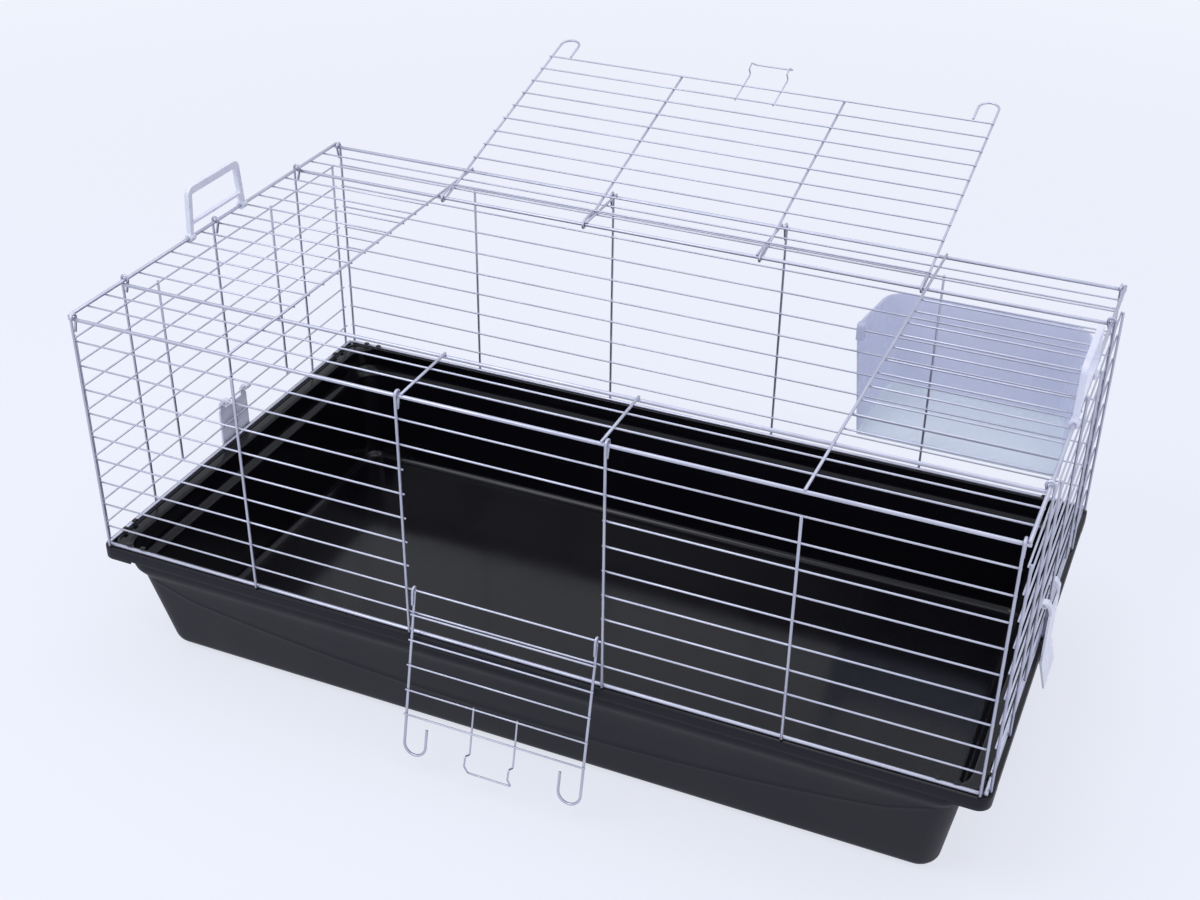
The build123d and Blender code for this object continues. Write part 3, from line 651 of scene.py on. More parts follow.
@dataclass
class WallPanel:
    """A wire wall: uprights outside, thin bars inside them, and a bottom rail.

    Its wires are laid out by place along the wall, distance out from the
    cage's middle, and height, in millimetres.
    """

    wall: Wall
    sizes: CageSizes = SIZES

    @property
    def rail_out(self) -> float:
        """Distance from the middle to the bottom rail."""
        return self.sizes.half_width if self.wall.is_long else self.sizes.half_length

    def path(self, *corners: Point) -> Array:
        """Turns places along, out and up into metres in the frame."""
        points = np.array(corners) * MM
        points[:, 1] *= self.wall.side
        return points if self.wall.is_long else points[:, [1, 0, 2]]

    def post(self, along: float, bottom: float) -> Wire:
        """Returns a straight upright that starts at a height and ends past the top bar."""
        out = self.rail_out + self.sizes.post_out
        top = self.sizes.bars[-1] + self.sizes.tail
        return self.path((along, out, bottom), (along, out, top)), self.sizes.main

    def hook(self, along: float, rail_z: float) -> Wire:
        """Returns an upright hooked over a roof rail at the given height."""
        s = self.sizes
        out = self.rail_out + s.post_out
        crest = rail_z + s.hook_rise
        corners = self.path(
            (along, out, s.post_foot),
            (along, out, crest),
            (along, out - s.hook_width, crest),
            (along, out - s.hook_end, crest - s.hook_length),
        )
        return fillet_path(corners, np.full(2, s.hook_bend * MM)), s.main

    def bar(self, start: float, end: float, height: float) -> Wire:
        """Returns a thin bar between two places along the wall."""
        out = self.rail_out + self.sizes.bar_out
        return self.path((start, out, height), (end, out, height)), self.sizes.thin

    def build(self, wire: Material) -> None:
        """Makes the panel's pieces in the given finish."""
        end, out, height = self.rail_end, self.rail_out, self.sizes.rail_height
        rail = self.path((-end, out, height), (end, out, height)), self.sizes.rail
        wire_piece(f"{self.wall.label}_uprights", "cage", self.uprights(), wire)
        wire_piece(f"{self.wall.label}_bars", "cage", self.bars(), wire)
        wire_piece(f"{self.wall.label}_bottom_rail", "cage", [rail], wire, RAIL_SIDES)


@dataclass
class LongWall(WallPanel):
    """Front or back wall: four hooks and two short posts. The front's bars stop at its doorway."""

    @property
    def rail_end(self) -> float:
        """Half the length of the bottom rail and of the bars."""
        return self.sizes.front_posts[0] + self.sizes.tail

    def uprights(self) -> list[Wire]:
        """Returns the uprights."""
        s = self.sizes
        hooks = [self.hook(k * x, s.cross_z) for x in s.front_posts for k in (-1, 1)]
        return hooks + [self.post(k * s.front_short, s.post_foot) for k in (-1, 1)]

    def bars(self) -> list[Wire]:
        """Returns the bars, cut where the door is."""
        s = self.sizes
        end = self.rail_end
        cut = s.front_posts[1] - s.main - s.tail
        wires = []
        for i, z in enumerate(s.bars):
            doorway = self.wall is Wall.FRONT and s.door_first <= i <= s.door_last
            runs = [(-end, -cut), (cut, end)] if doorway else [(-end, end)]
            wires += [self.bar(start, stop, z) for start, stop in runs]
        return wires


@dataclass
class EndWall(WallPanel):
    """Left or right wall: three hooks, two corner posts and two middle posts."""

    @property
    def rail_end(self) -> float:
        """Half the length of the bottom rail."""
        return self.sizes.half_width

    def uprights(self) -> list[Wire]:
        """Returns the uprights."""
        s = self.sizes
        hooks = [self.hook(y, s.side_z) for y in (-s.end_hook, s.end_centre, s.end_hook)]
        corners = [self.post(k * s.end_corner, s.post_foot) for k in (-1, 1)]
        return hooks + corners + [self.post(k * s.end_middle, s.bars[0] - s.tail) for k in (-1, 1)]

    def bars(self) -> list[Wire]:
        """Returns the bars."""
        s = self.sizes
        end = s.end_corner + s.main + s.tail
        return [self.bar(-end, end, z) for z in s.bars]


# Roof


@dataclass
class Roof:
    """Roof panel: heavy rails, two dividers, stubs and cross wires round the big doorway."""

    sizes: CageSizes = SIZES

    def across(self, step: int, start: float, end: float, z: float) -> Array:
        """Returns a cross wire's centre line between two places along the length."""
        y = self.sizes.roof_step(step)
        return line((start, y, z), (end, y, z))

    def deep(self, x: float, start: float, end: float, z: float) -> Array:
        """Returns the centre line of a wire that runs from front to back."""
        return line((x, start, z), (x, end, z))

    def build(self, wire: Material) -> None:
        """Makes the roof's pieces in the given finish."""
        s = self.sizes
        reach_x, reach_y = s.roof_x + s.rail, s.roof_y + s.rail
        thin_z = s.top_z - s.thin
        inner = s.divider - s.main
        hinge_y, border_y = s.roof_step(s.hinge_step), s.roof_step(s.border_step)
        both = (-1, 1)
        stubs = [self.deep(k * s.stub, hinge_y - s.rail, reach_y, s.divider_z) for k in both]
        stubs += [self.deep(k * s.stub, -reach_y, border_y + s.rail, s.divider_z) for k in both]
        short = [
            self.across(n, start, end, thin_z)
            for n in range(s.hinge_step + 1, s.border_step)
            for start, end in ((-reach_x, -inner), (inner, reach_x))
        ]
        rails = [self.deep(k * s.roof_x, -reach_y, reach_y, s.side_z) for k in both]
        dividers = [self.deep(k * s.divider, -reach_y, reach_y, s.divider_z) for k in both]
        ends, hinge, border = (
            [self.across(n, -reach_x, reach_x, s.cross_z) for n in steps]
            for steps in ((0, s.roof_steps), (s.hinge_step,), (s.border_step,))
        )
        full = [self.across(n, -reach_x, reach_x, thin_z) for n in s.whole_steps]
        for part, paths, radius, sides in (
            ("side_rails", rails, s.rail, RAIL_SIDES),
            ("cross_rails", ends, s.rail, RAIL_SIDES),
            ("dividers", dividers, s.main, WIRE_SIDES),
            ("stubs", stubs, s.main, WIRE_SIDES),
            ("cross_wires", full, s.thin, WIRE_SIDES),
            ("side_wires", short, s.thin, WIRE_SIDES),
            ("hinge_wire", hinge, s.rail, RAIL_SIDES),
            ("border_wire", border, s.rail, RAIL_SIDES),
        ):
            wire_piece(f"roof_{part}", "cage", [(path, radius) for path in paths], wire, sides)


# Doors


@dataclass
class WireDoor:
    """A wire door: looped side wires with cane ends, bars, and a bent spring catch."""

    name: str
    origin: Array
    across: Array
    along: Array
    over: Array
    off: float
    side_x: float
    inner_x: Optional[float]
    bars: int
    first: float
    pitch: float
    tip: float
    cane_end: float
    loop: float
    catch_tip: float
    shut_edge: float
    cane_width: float = 25.0
    bar_tail: float = 2.5
    catch_x: float = 25.0
    catch_dip: float = 11.0
    catch_back: float = 4.0
    catch_bend: float = 2.4
    catch_edge_gap: float = 3.5
    catch_lift: float = 1.0
    catch_tip_lift: float = 1.5
    loop_lift: float = 0.6
    loop_bend: float = 0.88
    cane_flat: float = 0.1
    sizes: CageSizes = SIZES

    def place(self, points: list[Point]) -> Array:
        """Turns door places (across, along, over) in millimetres into metres in the frame."""
        p = np.array(points)
        where = self.origin + p[:, :1] * self.across + p[:, 1:2] * self.along + p[:, 2:] * self.over
        return where * MM

    def looped(self, x: float) -> list[Point]:
        """Returns the corners of the loop round the hinge at a place across the door."""
        s = self.sizes
        bow = self.off + s.gap
        return [
            (x, self.loop, self.loop_lift - self.off + 2 * s.main),
            (x, bow, self.off),
            (x, -bow, self.off),
            (x, -bow, -self.off),
        ]

    def side_path(self, x: float) -> Array:
        """Returns a side wire's centre line: loop, straight run and cane."""
        inward = -math.copysign(self.cane_width, x)
        points = self.looped(x) + [
            (x, self.tip, -self.off),
            (x + inward, self.tip, -self.off),
            (x + inward, self.cane_end, -self.off),
        ]
        bend = self.off * self.loop_bend
        cane = self.cane_width / 2 - self.cane_flat
        return fillet_path(self.place(points), np.array([bend, bend, bend, cane, cane]) * MM)

    def inner_path(self, x: float, end: float) -> Array:
        """Returns an inner wire's centre line: loop and straight run."""
        points = self.looped(x) + [(x, end, -self.off)]
        return fillet_path(self.place(points), np.full(3, self.off * self.loop_bend * MM))

    def catch_path(self) -> Array:
        """Returns the spring catch's centre line."""
        s = self.sizes
        low = (s.main + s.thin - s.weld) - (s.thin + s.catch - s.weld) - self.off
        start = self.first + (self.bars - 2) * self.pitch - s.tail
        near = self.shut_edge - self.catch_edge_gap
        profile = [
            (start, low),
            (near, low),
            (near - self.catch_back, low + self.catch_dip),
            (self.shut_edge + self.catch_back, low + self.catch_dip + self.catch_lift),
            (self.catch_tip, low + self.catch_tip_lift),
        ]
        points = [(-self.catch_x, v, n) for v, n in profile]
        points += [(self.catch_x, v, n) for v, n in reversed(profile)]
        return fillet_path(self.place(points), np.full(len(points) - 2, self.catch_bend * MM), 0.25)

    def build(self, wire: Material) -> None:
        """Makes the door's pieces in the given finish."""
        s = self.sizes
        sides = [(self.side_path(k * self.side_x), s.main) for k in (-1, 1)]
        wire_piece(f"{self.name}_side_wires", self.name, sides, wire)
        last = self.first + (self.bars - 1) * self.pitch
        if self.inner_x is not None:
            inner = [(self.inner_path(k * self.inner_x, last + s.tail), s.main) for k in (-1, 1)]
            wire_piece(f"{self.name}_inner_wires", self.name, inner, wire)
        half = self.side_x + self.bar_tail
        over = s.main + s.thin - s.weld - self.off
        rows = [self.first + i * self.pitch for i in range(self.bars)]
        bars = [(self.place([(-half, v, over), (half, v, over)]), s.thin) for v in rows]
        wire_piece(f"{self.name}_bars", self.name, bars, wire)
        wire_piece(f"{self.name}_catch", self.name, [(self.catch_path(), s.catch)], wire, CATCH_SIDES)


def roof_door() -> WireDoor:
    """Returns the roof door, thrown back at 15 degrees."""
    s = SIZES
    edge = s.roof_step(s.hinge_step) - s.roof_step(s.border_step)
    bars, first, last_gap = 11, 29.5, 32.5
    tilt = math.radians(15.0)
    return WireDoor(
        name="roof_door",
        origin=np.array([0, s.roof_step(s.hinge_step), s.cross_z]),
        across=np.array([1.0, 0, 0]),
        along=np.array([0, math.cos(tilt), math.sin(tilt)]),
        over=np.array([0, -math.sin(tilt), math.cos(tilt)]),
        off=s.rail + s.main + s.gap,
        side_x=291.5,
        inner_x=107.6,
        bars=bars,
        first=first,
        pitch=(edge - first - last_gap) / (bars - 1),
        tip=edge + 12.5,
        cane_end=edge - 25.5,
        loop=25.0,
        catch_tip=edge + 16.5,
        shut_edge=edge,
    )


def front_door() -> WireDoor:
    """Returns the front door, hanging down over the rim at 13 degrees."""
    s = SIZES
    tilt = math.radians(13.0)
    return WireDoor(
        name="front_door",
        origin=np.array([0, -(s.half_width + s.bar_out), s.bars[s.hinge_bar]]),
        across=np.array([-1.0, 0, 0]),
        along=np.array([0, -math.sin(tilt), -math.cos(tilt)]),
        over=np.array([0, -math.cos(tilt), math.sin(tilt)]),
        off=s.thin + s.main + s.gap,
        side_x=102.0,
        inner_x=None,
        bars=5,
        first=28.5,
        pitch=s.bar_pitch,
        tip=190.5,
        cane_end=157.0,
        loop=17.0,
        catch_tip=190.5,
        shut_edge=s.bars[s.door_last + 1] - s.bars[s.hinge_bar],
    )


# Tray

Size = Point  # half length, half width and corner radius of a ring
Steps = tuple[Pair, ...]


def shrink(size: Size, by: float, bend: Optional[float] = None) -> Size:
    """Draws a ring in.

    Args:
        size: Half length, half width and corner radius.
        by: How far the length and width are drawn in.
        bend: How far the radius is drawn in, where that differs.

    Returns:
        The new size.
    """
    length, width, radius = size
    return length - by, width - by, radius - (by if bend is None else bend)


@dataclass
class MouldedTray:
    """Deep moulded tray: tapered tub, stepped collar, flat rim with a skirt, ridge and nubs.

    The surface is a stack of rings. A ring is a rounded rectangle of a half
    length, half width and corner radius at a height, and every ring has the
    same columns, so that neighbouring rings join in quads.
    """

    rim: Size = (500.0, 270.0, 14.0)
    foot: Size = (453.0, 230.0, 22.0)
    tub: Size = (470.0, 255.5, 26.0)
    collar: Size = (478.0, 261.4, 26.0)
    tub_top: float = 113.0
    ledge: float = 149.0
    wall: float = 3.0
    swell: Steps = ((0.05, -1.5), (0.2, 0.5), (0.5, 3.0), (0.8, 6.5), (0.95, 10.0), (1.0, 14.0))
    swell_inside: Steps = (
        (1.0, 14.0), (0.96, 10.0), (0.84, 6.5), (0.6, 3.2), (0.3, 1.0), (0.06, -1.0), (0.0, -3.5)
    )
    nub_rings: Steps = ((0.86, 153.3), (1.0, 153.7), (1.0, 154.6), (0.9, 155.0), (0.7, 155.1))
    even: Pair = (400.0, 190.0)
    foot_bend: float = 14.0
    floor_bend: float = 7.0
    lip_bend: float = 1.6
    ledge_bend: float = 3.5
    skirt: float = 2.5
    skirt_drop: float = 12.0
    corner_drop: float = 15.0
    corner_length: float = 38.0
    ridge: Point = (490.8, 2.4, 1.6)
    slots: Steps = ((-25.0, 0.0), (15.0, 40.0))
    slot_heights: Pair = (141.0, 146.0)
    slot_depth: float = 1.8
    crease_low: float = 52.5
    crease_rise: float = 54.0
    crease_power: float = 2.2
    crease_step: float = 0.12
    crease_bead: float = 0.25
    nub_insets: Pair = (22.0, 40.0)
    columns: Array = field(default_factory=lambda: np.zeros((0, 4)))
    rings: list[Array] = field(default_factory=list)
    inside: list[bool] = field(default_factory=list)

    def run(self, half: float, marks: list[float]) -> Array:
        """Returns places along a straight side: even steps plus pairs round each mark."""
        even = np.linspace(-half, half, 2 * int(half / 16) + 1)
        pairs = np.array([m + d for m in marks for d in (-0.12, 0.12)])
        places = np.concatenate([even, pairs])
        if len(pairs):
            near = np.min(np.abs(even[:, None] - pairs[None]), axis=1) < 1.5
            near[0] = near[-1] = False
            places = np.concatenate([even[~near], pairs])
        return np.sort(places)

    def lay_columns(self) -> None:
        """Lays the columns round the rim: place on each straight side, or corner and angle.

        A column holds the centre's place on the rim's straight sides and the
        outward direction; corner columns share the centre and turn in 9 steps.
        """
        length, width, radius = self.rim
        across, deep = length - radius, width - radius
        mark_x = length - self.corner_length
        mark_y = width - self.corner_length
        slots = [edge for slot in self.slots for edge in slot]
        front = self.run(across, [-mark_x, mark_x] + slots)
        back = self.run(across, [-mark_x, mark_x])
        side = self.run(deep, [-mark_y, mark_y])
        rows = [(x, -deep, 0.0, -1.0) for x in front]
        rows += self.corner(across, -deep, -90)
        rows += [(across, y, 1.0, 0.0) for y in side]
        rows += self.corner(across, deep, 0)
        rows += [(x, deep, 0.0, 1.0) for x in back[::-1]]
        rows += self.corner(-across, deep, 90)
        rows += [(-across, y, -1.0, 0.0) for y in side[::-1]]
        rows += self.corner(-across, -deep, 180)
        self.columns = np.array(rows)

    def corner(self, x: float, y: float, start: float) -> list[tuple[float, float, float, float]]:
        """Returns the columns inside a corner, turning 90 degrees from the start angle."""
        turns = np.radians(start + np.linspace(0, 90, 10)[1:-1])
        return [(x, y, math.cos(t), math.sin(t)) for t in turns]

    def ring(self, size: Size, height: Union[float, Array], inside: bool = False) -> None:
        """Adds a ring.

        The centre of a column keeps its place over the middle of a side and is
        squeezed evenly beyond it, so that it ends where this ring's corner
        starts; the point is the centre plus the radius along the direction.

        Args:
            size: Half length, half width and corner radius, each one value or one per column.
            height: Height.
            inside: True where the faces up to the next ring are the glossy inside.
        """
        length, width, radius = size
        x, y, nx, ny = self.columns.T
        px = self.squeeze(x, self.even[0], self.rim[0] - self.rim[2], length - radius) + radius * nx
        py = self.squeeze(y, self.even[1], self.rim[1] - self.rim[2], width - radius) + radius * ny
        self.rings.append(np.stack([px, py, np.broadcast_to(height, px.shape)], -1))
        self.inside.append(inside)

    def squeeze(self, place: Array, keep: float, old: float, new: Union[float, Array]) -> Array:
        """Keeps places up to a distance and maps the rest evenly onto a new end."""
        size = np.abs(place)
        moved = keep + (size - keep) * (new - keep) / (old - keep)
        return np.sign(place) * np.where(size <= keep, size, moved)

    def tub_at(self, height: Union[float, Array], inset: float) -> Size:
        """Returns the size of the tub's ring at a height, drawn in by an inset."""
        share = height / self.tub_top
        length, width, radius = (low + (high - low) * share for low, high in zip(self.foot, self.tub))
        return length - inset, width - inset, radius - inset

    def crease(self) -> Array:
        """Returns the height of the arched crease at each column.

        It hangs lowest at mid-length and rises with a power of the distance
        from there, up to the collar at the corners.
        """
        share = np.abs(self.columns[:, 0]) / (self.rim[0] - self.rim[2])
        rise = self.crease_low + self.crease_rise * share**self.crease_power
        return np.where(self.along, rise, self.crease_low + self.crease_rise)

    @property
    def along(self) -> Array:
        """True for the columns on the two long sides."""
        return np.abs(self.columns[:, 3]) > 0.999

    def wall_ring(self, height: Array, dent: float) -> None:
        """Adds a ring of the tub's wall, drawn in by a dent on the long sides."""
        length, width, radius = self.tub_at(height, 0.0)
        self.ring((length, width - np.where(self.along, dent, 0.0), radius), height)

    def bottom(self, bend: float, inset: float, least: float, inside: bool) -> None:
        """Adds the rings of the bend from the bottom to the wall, or inside from the wall down.

        Args:
            bend: Radius of the bend.
            inset: How far the bend lies inside the tub's outer surface.
            least: Smallest corner radius.
            inside: True for the glossy inside.
        """
        for turn in np.radians(np.linspace(90, 0, 9) if inside else np.linspace(0, 90, 9)):
            height = inset + bend * (1 - math.cos(turn))
            length, width, radius = shrink(self.tub_at(height, inset), bend * (1 - math.sin(turn)))
            self.ring((length, width, max(radius, least)), height, inside)

    def swelling(self, steps: Steps, inset: float, inside: bool) -> None:
        """Adds the rings between the tub and the collar.

        Args:
            steps: Shares of the way from tub to collar, with heights over the tub's top.
            inset: How far they lie inside the outer surface.
            inside: True for the glossy inside.
        """
        tub, collar = shrink(self.tub, inset), shrink(self.collar, inset)
        for share, height in steps:
            size = tuple(a + (b - a) * share for a, b in zip(tub, collar))
            self.ring(size, self.tub_top + inset + height, inside)

    def outside(self) -> None:
        """Adds the rings from the underside up to the collar."""
        self.bottom(self.foot_bend, 0.0, 8.0, False)
        crease = self.crease()
        for share in (0.25, 0.5, 0.75, 0.93):
            self.wall_ring(self.foot_bend + (crease - 2.5 - self.foot_bend) * share, 0.0)
        for rise, dent in ((-1.2, 0.0), (0.0, -self.crease_bead), (1.2, self.crease_step)):
            self.wall_ring(crease + rise, dent)
        top = self.tub_top - 3
        for share in (0.15, 0.5, 0.9):
            self.wall_ring(crease + 2 + (top - crease - 2) * share, self.crease_step * (1 - share))
        self.swelling(self.swell, 0.0, False)

    def edge(self) -> None:
        """Adds the rings under the rim, round its skirt and over its top."""
        x, y, _, ny = self.columns.T
        near, under = self.skirt, self.ledge - self.wall
        mark_x, mark_y = self.rim[0] - self.corner_length, self.rim[1] - self.corner_length
        cornered = (np.abs(x) > mark_x) & (np.abs(y) > mark_y)
        low = self.ledge - np.where(cornered, self.corner_drop, self.skirt_drop)
        for size, height in (
            (self.collar, under - 1.2),
            (shrink(self.collar, -1.2, 0.0), under),
            (shrink(self.rim, near + 0.6), under),
            (shrink(self.rim, near), under - 0.6),
            (shrink(self.rim, near), low + 0.6),
            (shrink(self.rim, near - 0.6, near), low),
            (shrink(self.rim, 0.8), low),
            (self.rim, low + 0.8),
        ):
            self.ring(size, height)
        front = (ny < -0.999) & np.any([(x > a) & (x < b) for a, b in self.slots], axis=0)
        sill, head = self.slot_heights
        for height, depth in (
            (sill - 0.12, 0.0),
            (sill + 0.12, self.slot_depth),
            (head - 0.12, self.slot_depth),
            (head + 0.12, 0.0),
        ):
            self.ring(self.rim, height)
            self.rings[-1][front, 1] += depth
        for turn in np.radians((0, 30, 60, 90)):
            back = self.lip_bend * (1 - math.cos(turn))
            height = self.ledge - self.lip_bend * (1 - math.sin(turn))
            self.ring(shrink(self.rim, back), height, turn > 1.5)

    def inner(self) -> None:
        """Adds the rings of the ridge, the inner ledge, the inner walls and the floor."""
        place, thick, rise = self.ridge
        ridge = (place, self.rim[1] - self.rim[0] + place, self.rim[2])
        top = rise - 0.5
        for back, height in ((-0.3, 0), (0, 0.3), (0, top), (0.5, rise), (thick - 0.5, rise), (thick, top)):
            self.ring(shrink(ridge, back, 0.0), self.ledge + height, True)
        self.ring((place - thick, ridge[1] - thick - 0.05, ridge[2]), self.ledge + 0.05, True)
        far, deep, bend = shrink(self.collar, self.wall)
        drop = self.ledge_bend
        for turn in np.radians((0, 22, 45, 68, 90)):
            size = (
                far + drop * (1 - math.sin(turn)),
                deep - 0.1 * math.sin(turn),
                bend - 4 + 4 * math.sin(turn),
            )
            self.ring(size, self.ledge - drop * (1 - math.cos(turn)), True)
        self.swelling(self.swell_inside, self.wall, True)
        for height in np.linspace(self.tub_top + self.wall - 8, self.wall + 12, 6):
            self.ring(self.tub_at(height, self.wall), height, True)
        self.bottom(self.floor_bend, self.wall, 6.0, True)
        for back, sink in ((3.0, 0.5), (9.0, 0.6)):
            length, width, _ = self.tub_at(self.wall, self.wall + self.floor_bend + back)
            self.ring((length, width, 10.0), self.wall - sink, True)

    def nub(self, x: float, y: float, dx: float, dy: float) -> Shape:
        """Makes a small tab over a rail: five squarish rings with soft corners.

        Args:
            x: Place of its inner edge.
            y: Place of its inner edge.
            dx: Size along the length.
            dy: Size along the width.

        Returns:
            Points and faces.
        """
        angle = np.linspace(0, 2 * math.pi, 12, endpoint=False)
        c, s = np.cos(angle), np.sin(angle)
        shape = np.stack([np.sign(c) * np.abs(c) ** 0.35, np.sign(s) * np.abs(s) ** 0.35], -1)
        rings = []
        for scale, height in self.nub_rings:
            flat = shape * np.array([dx / 2, dy / 2]) * scale + np.array([x, y])
            rings.append(np.column_stack([flat, np.full(12, height)]))
        points = np.concatenate(rings) * MM
        return points, [*skin(5, 12), tuple(reversed(range(12))), tuple(range(48, 60))]

    def build(self, satin: Material, gloss: Material) -> None:
        """Makes the tray's piece.

        Args:
            satin: Finish of the outside.
            gloss: Finish of the inside.
        """
        self.lay_columns()
        self.outside()
        self.edge()
        self.inner()
        count = len(self.columns)
        points = np.concatenate(self.rings) * MM
        last = (len(self.rings) - 1) * count
        floor, top = tuple(reversed(range(count))), tuple(range(last, last + count))
        faces = [floor, *skin(len(self.rings), count), top]
        slots = [0, *np.repeat(self.inside[:-1], count).astype(int).tolist(), 1]
        inner_x = self.ridge[0] - self.ridge[1]
        inner_y = inner_x - self.rim[0] + self.rim[1]
        nubs = [
            nub
            for sx in (-1, 1)
            for sy in (-1, 1)
            for inset in self.nub_insets
            for nub in (
                self.nub(sx * (inner_x - inset), sy * (inner_y + 2.5), 6.0, 5.0),
                self.nub(sx * (inner_x + 2.5), sy * (inner_y - inset), 5.0, 6.0),
            )
        ]
        slots += [1] * sum(len(loops) for _, loops in nubs)
        points, faces = join_shapes([(points, faces), *nubs])
        piece = make_object("tray_moulded", points, faces, [satin, gloss], np.array(slots), 50.0)
        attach(piece, "cage")
        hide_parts("tray")
        LOG.info("tray: %d rings of %d points", len(self.rings), count)


# Stage


@dataclass(frozen=True)
class Lamp:
    """A soft square lamp: its place and side in metres, and its power in watts."""

    name: str
    at: Point
    side: float
    power: float


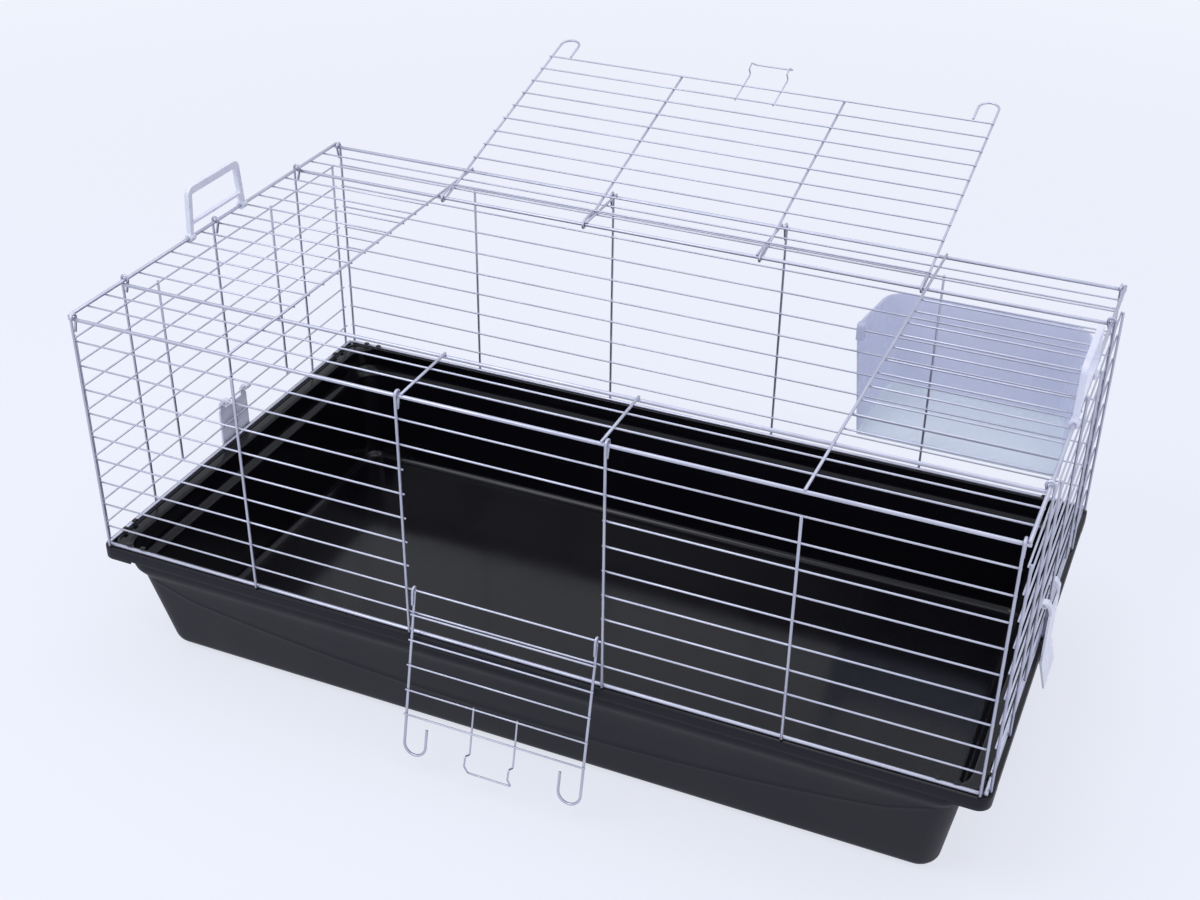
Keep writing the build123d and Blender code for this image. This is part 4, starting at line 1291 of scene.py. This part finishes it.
@dataclass
class Stage:
    """Pale floor, soft lamps and the camera of the photograph's angle."""

    floor: str = "#f3f6ff"
    floor_reach: float = 6.0
    plain_share: float = 0.74
    fade: Pair = (0.8, 4.0)
    world_colour: str = "#e9ecff"
    world_light: float = 0.55
    lamp_colour: Point = (0.91, 0.925, 1.0)
    lamp_aim: Point = (0.0, 0.0, 0.2)
    lamps: tuple[Lamp, ...] = (
        Lamp("key", (-1.5, -1.5, 2.8), 1.8, 36.0),
        Lamp("fill", (2.4, -1.4, 1.9), 2.2, 14.0),
        Lamp("rim", (0.3, 0.9, 3.6), 2.4, 26.0),
    )
    camera_at: Point = (0.6081, -1.4554, 1.2275)
    ahead: Point = (-0.33201633, 0.78260525, -0.5265873)
    overhead: Point = (-0.21784, 0.47955, 0.85005)
    lens: float = 50.0
    sensor: float = 36.0

    def seen(self, tree: Tree) -> Socket:
        """Returns a value of 1 for what is seen, mirrored or seen through plastic, else 0.

        Args:
            tree: Node tree that gets the nodes.

        Returns:
            The largest of the three ray values.
        """
        rays = add_node(tree, "LightPath").outputs
        value = rays["Is Camera Ray"]
        for kind in ("Is Glossy Ray", "Is Transmission Ray"):
            links = {0: value, 1: rays[kind]}
            value = add_node(tree, "Math", links=links, props={"operation": "MAXIMUM"}).outputs[0]
        return value

    def backdrop_material(self) -> Material:
        """Returns the floor's finish: lit by the lamps, and mostly plain where it is seen.

        The plain share grows with the distance from the middle, so that the
        far floor meets the world without an edge.
        """
        material, tree = blank_material("pale_paper_floor")
        colour = linear(self.floor)
        paper = add_node(tree, "BsdfDiffuse", {"Color": colour})
        plain = add_node(tree, "Emission", {"Color": colour, "Strength": 1.0})
        place = add_node(tree, "TexCoord").outputs["Object"]
        far = add_node(tree, "VectorMath", links={0: place}, props={"operation": "LENGTH"})
        near, wide = self.fade
        plainer = add_node(
            tree,
            "MapRange",
            {"From Min": near, "From Max": wide, "To Min": self.plain_share},
            {"Value": far.outputs["Value"]},
            {"interpolation_type": "SMOOTHSTEP"},
        )
        links = {0: self.seen(tree), 1: plainer.outputs[0]}
        share = add_node(tree, "Math", links=links, props={"operation": "MULTIPLY"})
        return close_material(material, mix(tree, share.outputs[0], paper, plain))

    def studio_world(self) -> None:
        """Makes the world: an even dim light, and the floor's colour where it is seen."""
        world = bpy.data.worlds.new("studio")
        bpy.context.scene.world = world
        world.use_nodes = True
        tree = world.node_tree
        tree.nodes.clear()
        dim = {"Color": linear(self.world_colour), "Strength": self.world_light}
        soft = add_node(tree, "Background", dim)
        plain = add_node(tree, "Background", {"Color": linear(self.floor), "Strength": 1.0})
        mixed = mix(tree, self.seen(tree), soft, plain)
        add_node(tree, "OutputWorld", links={"Surface": mixed.outputs[0]})

    def build(self) -> None:
        """Makes the floor, world, lamps and camera."""
        signs = ((-1, -1), (1, -1), (1, 1), (-1, 1))
        corners = np.array([(x * self.floor_reach, y * self.floor_reach, 0) for x, y in signs])
        make_object("floor", corners, [(0, 1, 2, 3)], [self.backdrop_material()])
        self.studio_world()
        for lamp in self.lamps:
            self.hang(lamp)
        self.camera()

    def hang(self, lamp: Lamp) -> None:
        """Adds a lamp that points at the cage."""
        data = bpy.data.lights.new(lamp.name, "AREA")
        data.energy = lamp.power
        data.size = lamp.side
        data.color = self.lamp_colour
        obj = bpy.data.objects.new(lamp.name, data)
        obj.location = lamp.at
        aim = Vector(self.lamp_aim) - Vector(lamp.at)
        obj.rotation_euler = aim.to_track_quat("-Z", "Y").to_euler()
        bpy.context.scene.collection.objects.link(obj)

    def camera(self) -> None:
        """Adds the camera from the fitted place and directions."""
        data = bpy.data.cameras.new("camera")
        data.lens = self.lens
        data.sensor_width = self.sensor
        obj = bpy.data.objects.new("camera", data)
        ahead, up = Vector(self.ahead), Vector(self.overhead)
        right = ahead.cross(up)
        turn = Matrix((right, up, -ahead)).transposed()
        obj.matrix_world = Matrix.Translation(Vector(self.camera_at)) @ turn.to_4x4()
        bpy.context.scene.collection.objects.link(obj)
        bpy.context.scene.camera = obj


def carry_over(node: str, material: Material, width: float = 0.7, sharp: float = 28.0) -> None:
    """Gives a node of the frame its finish and rounds its sharp edges with a bevel.

    Args:
        node: Name of the node.
        material: Finish.
        width: Width of the rounding in millimetres.
        sharp: Edges that turn by more than this are rounded, in degrees.
    """
    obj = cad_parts[node]
    obj.data.materials.clear()
    obj.data.materials.append(material)
    weld = obj.modifiers.new("joined", "WELD")
    weld.merge_threshold = 1e-6
    bevel = obj.modifiers.new("soft_edges", "BEVEL")
    bevel.width = width * MM
    bevel.segments = 3
    bevel.limit_method = "ANGLE"
    bevel.angle_limit = math.radians(sharp)
    bevel.use_clamp_overlap = True
    LOG.info("%s: dressed", node)


def main() -> None:
    """Builds the scene in order."""
    logging.basicConfig(level=logging.INFO, format="%(name)s %(message)s")
    bpy.context.scene.view_settings.view_transform = "Standard"
    wire = ZincWire().build()
    satin = TrayPlastic(
        name="satin_black_polypropylene",
        base="#16151d",
        worn="#1a1922",
        roughness=(0.46, 0.56),
        grain_mm=1.2,
        grain_depth_mm=0.04,
        shine=0.22,
    ).build()
    gloss = TrayPlastic(
        name="polished_black_polypropylene",
        base="#0b0a0f",
        worn="#0e0e13",
        roughness=(0.12, 0.18),
        grain_mm=9.0,
        grain_depth_mm=0.02,
        shine=0.3,
    ).build()
    white = WhitePlastic().build()
    rack = RackPlastic().build()
    walls = (LongWall(Wall.FRONT), LongWall(Wall.BACK), EndWall(Wall.LEFT), EndWall(Wall.RIGHT))
    for part in (*walls, Roof(), roof_door(), front_door()):
        part.build(wire)
    MouldedTray().build(satin, gloss)
    for node in ("left_handle", "right_handle", "left_latch", "right_latch"):
        carry_over(node, white)
    carry_over("hay_rack", rack)
    Stage().build()
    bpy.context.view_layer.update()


if __name__ == "__main__":
    main()
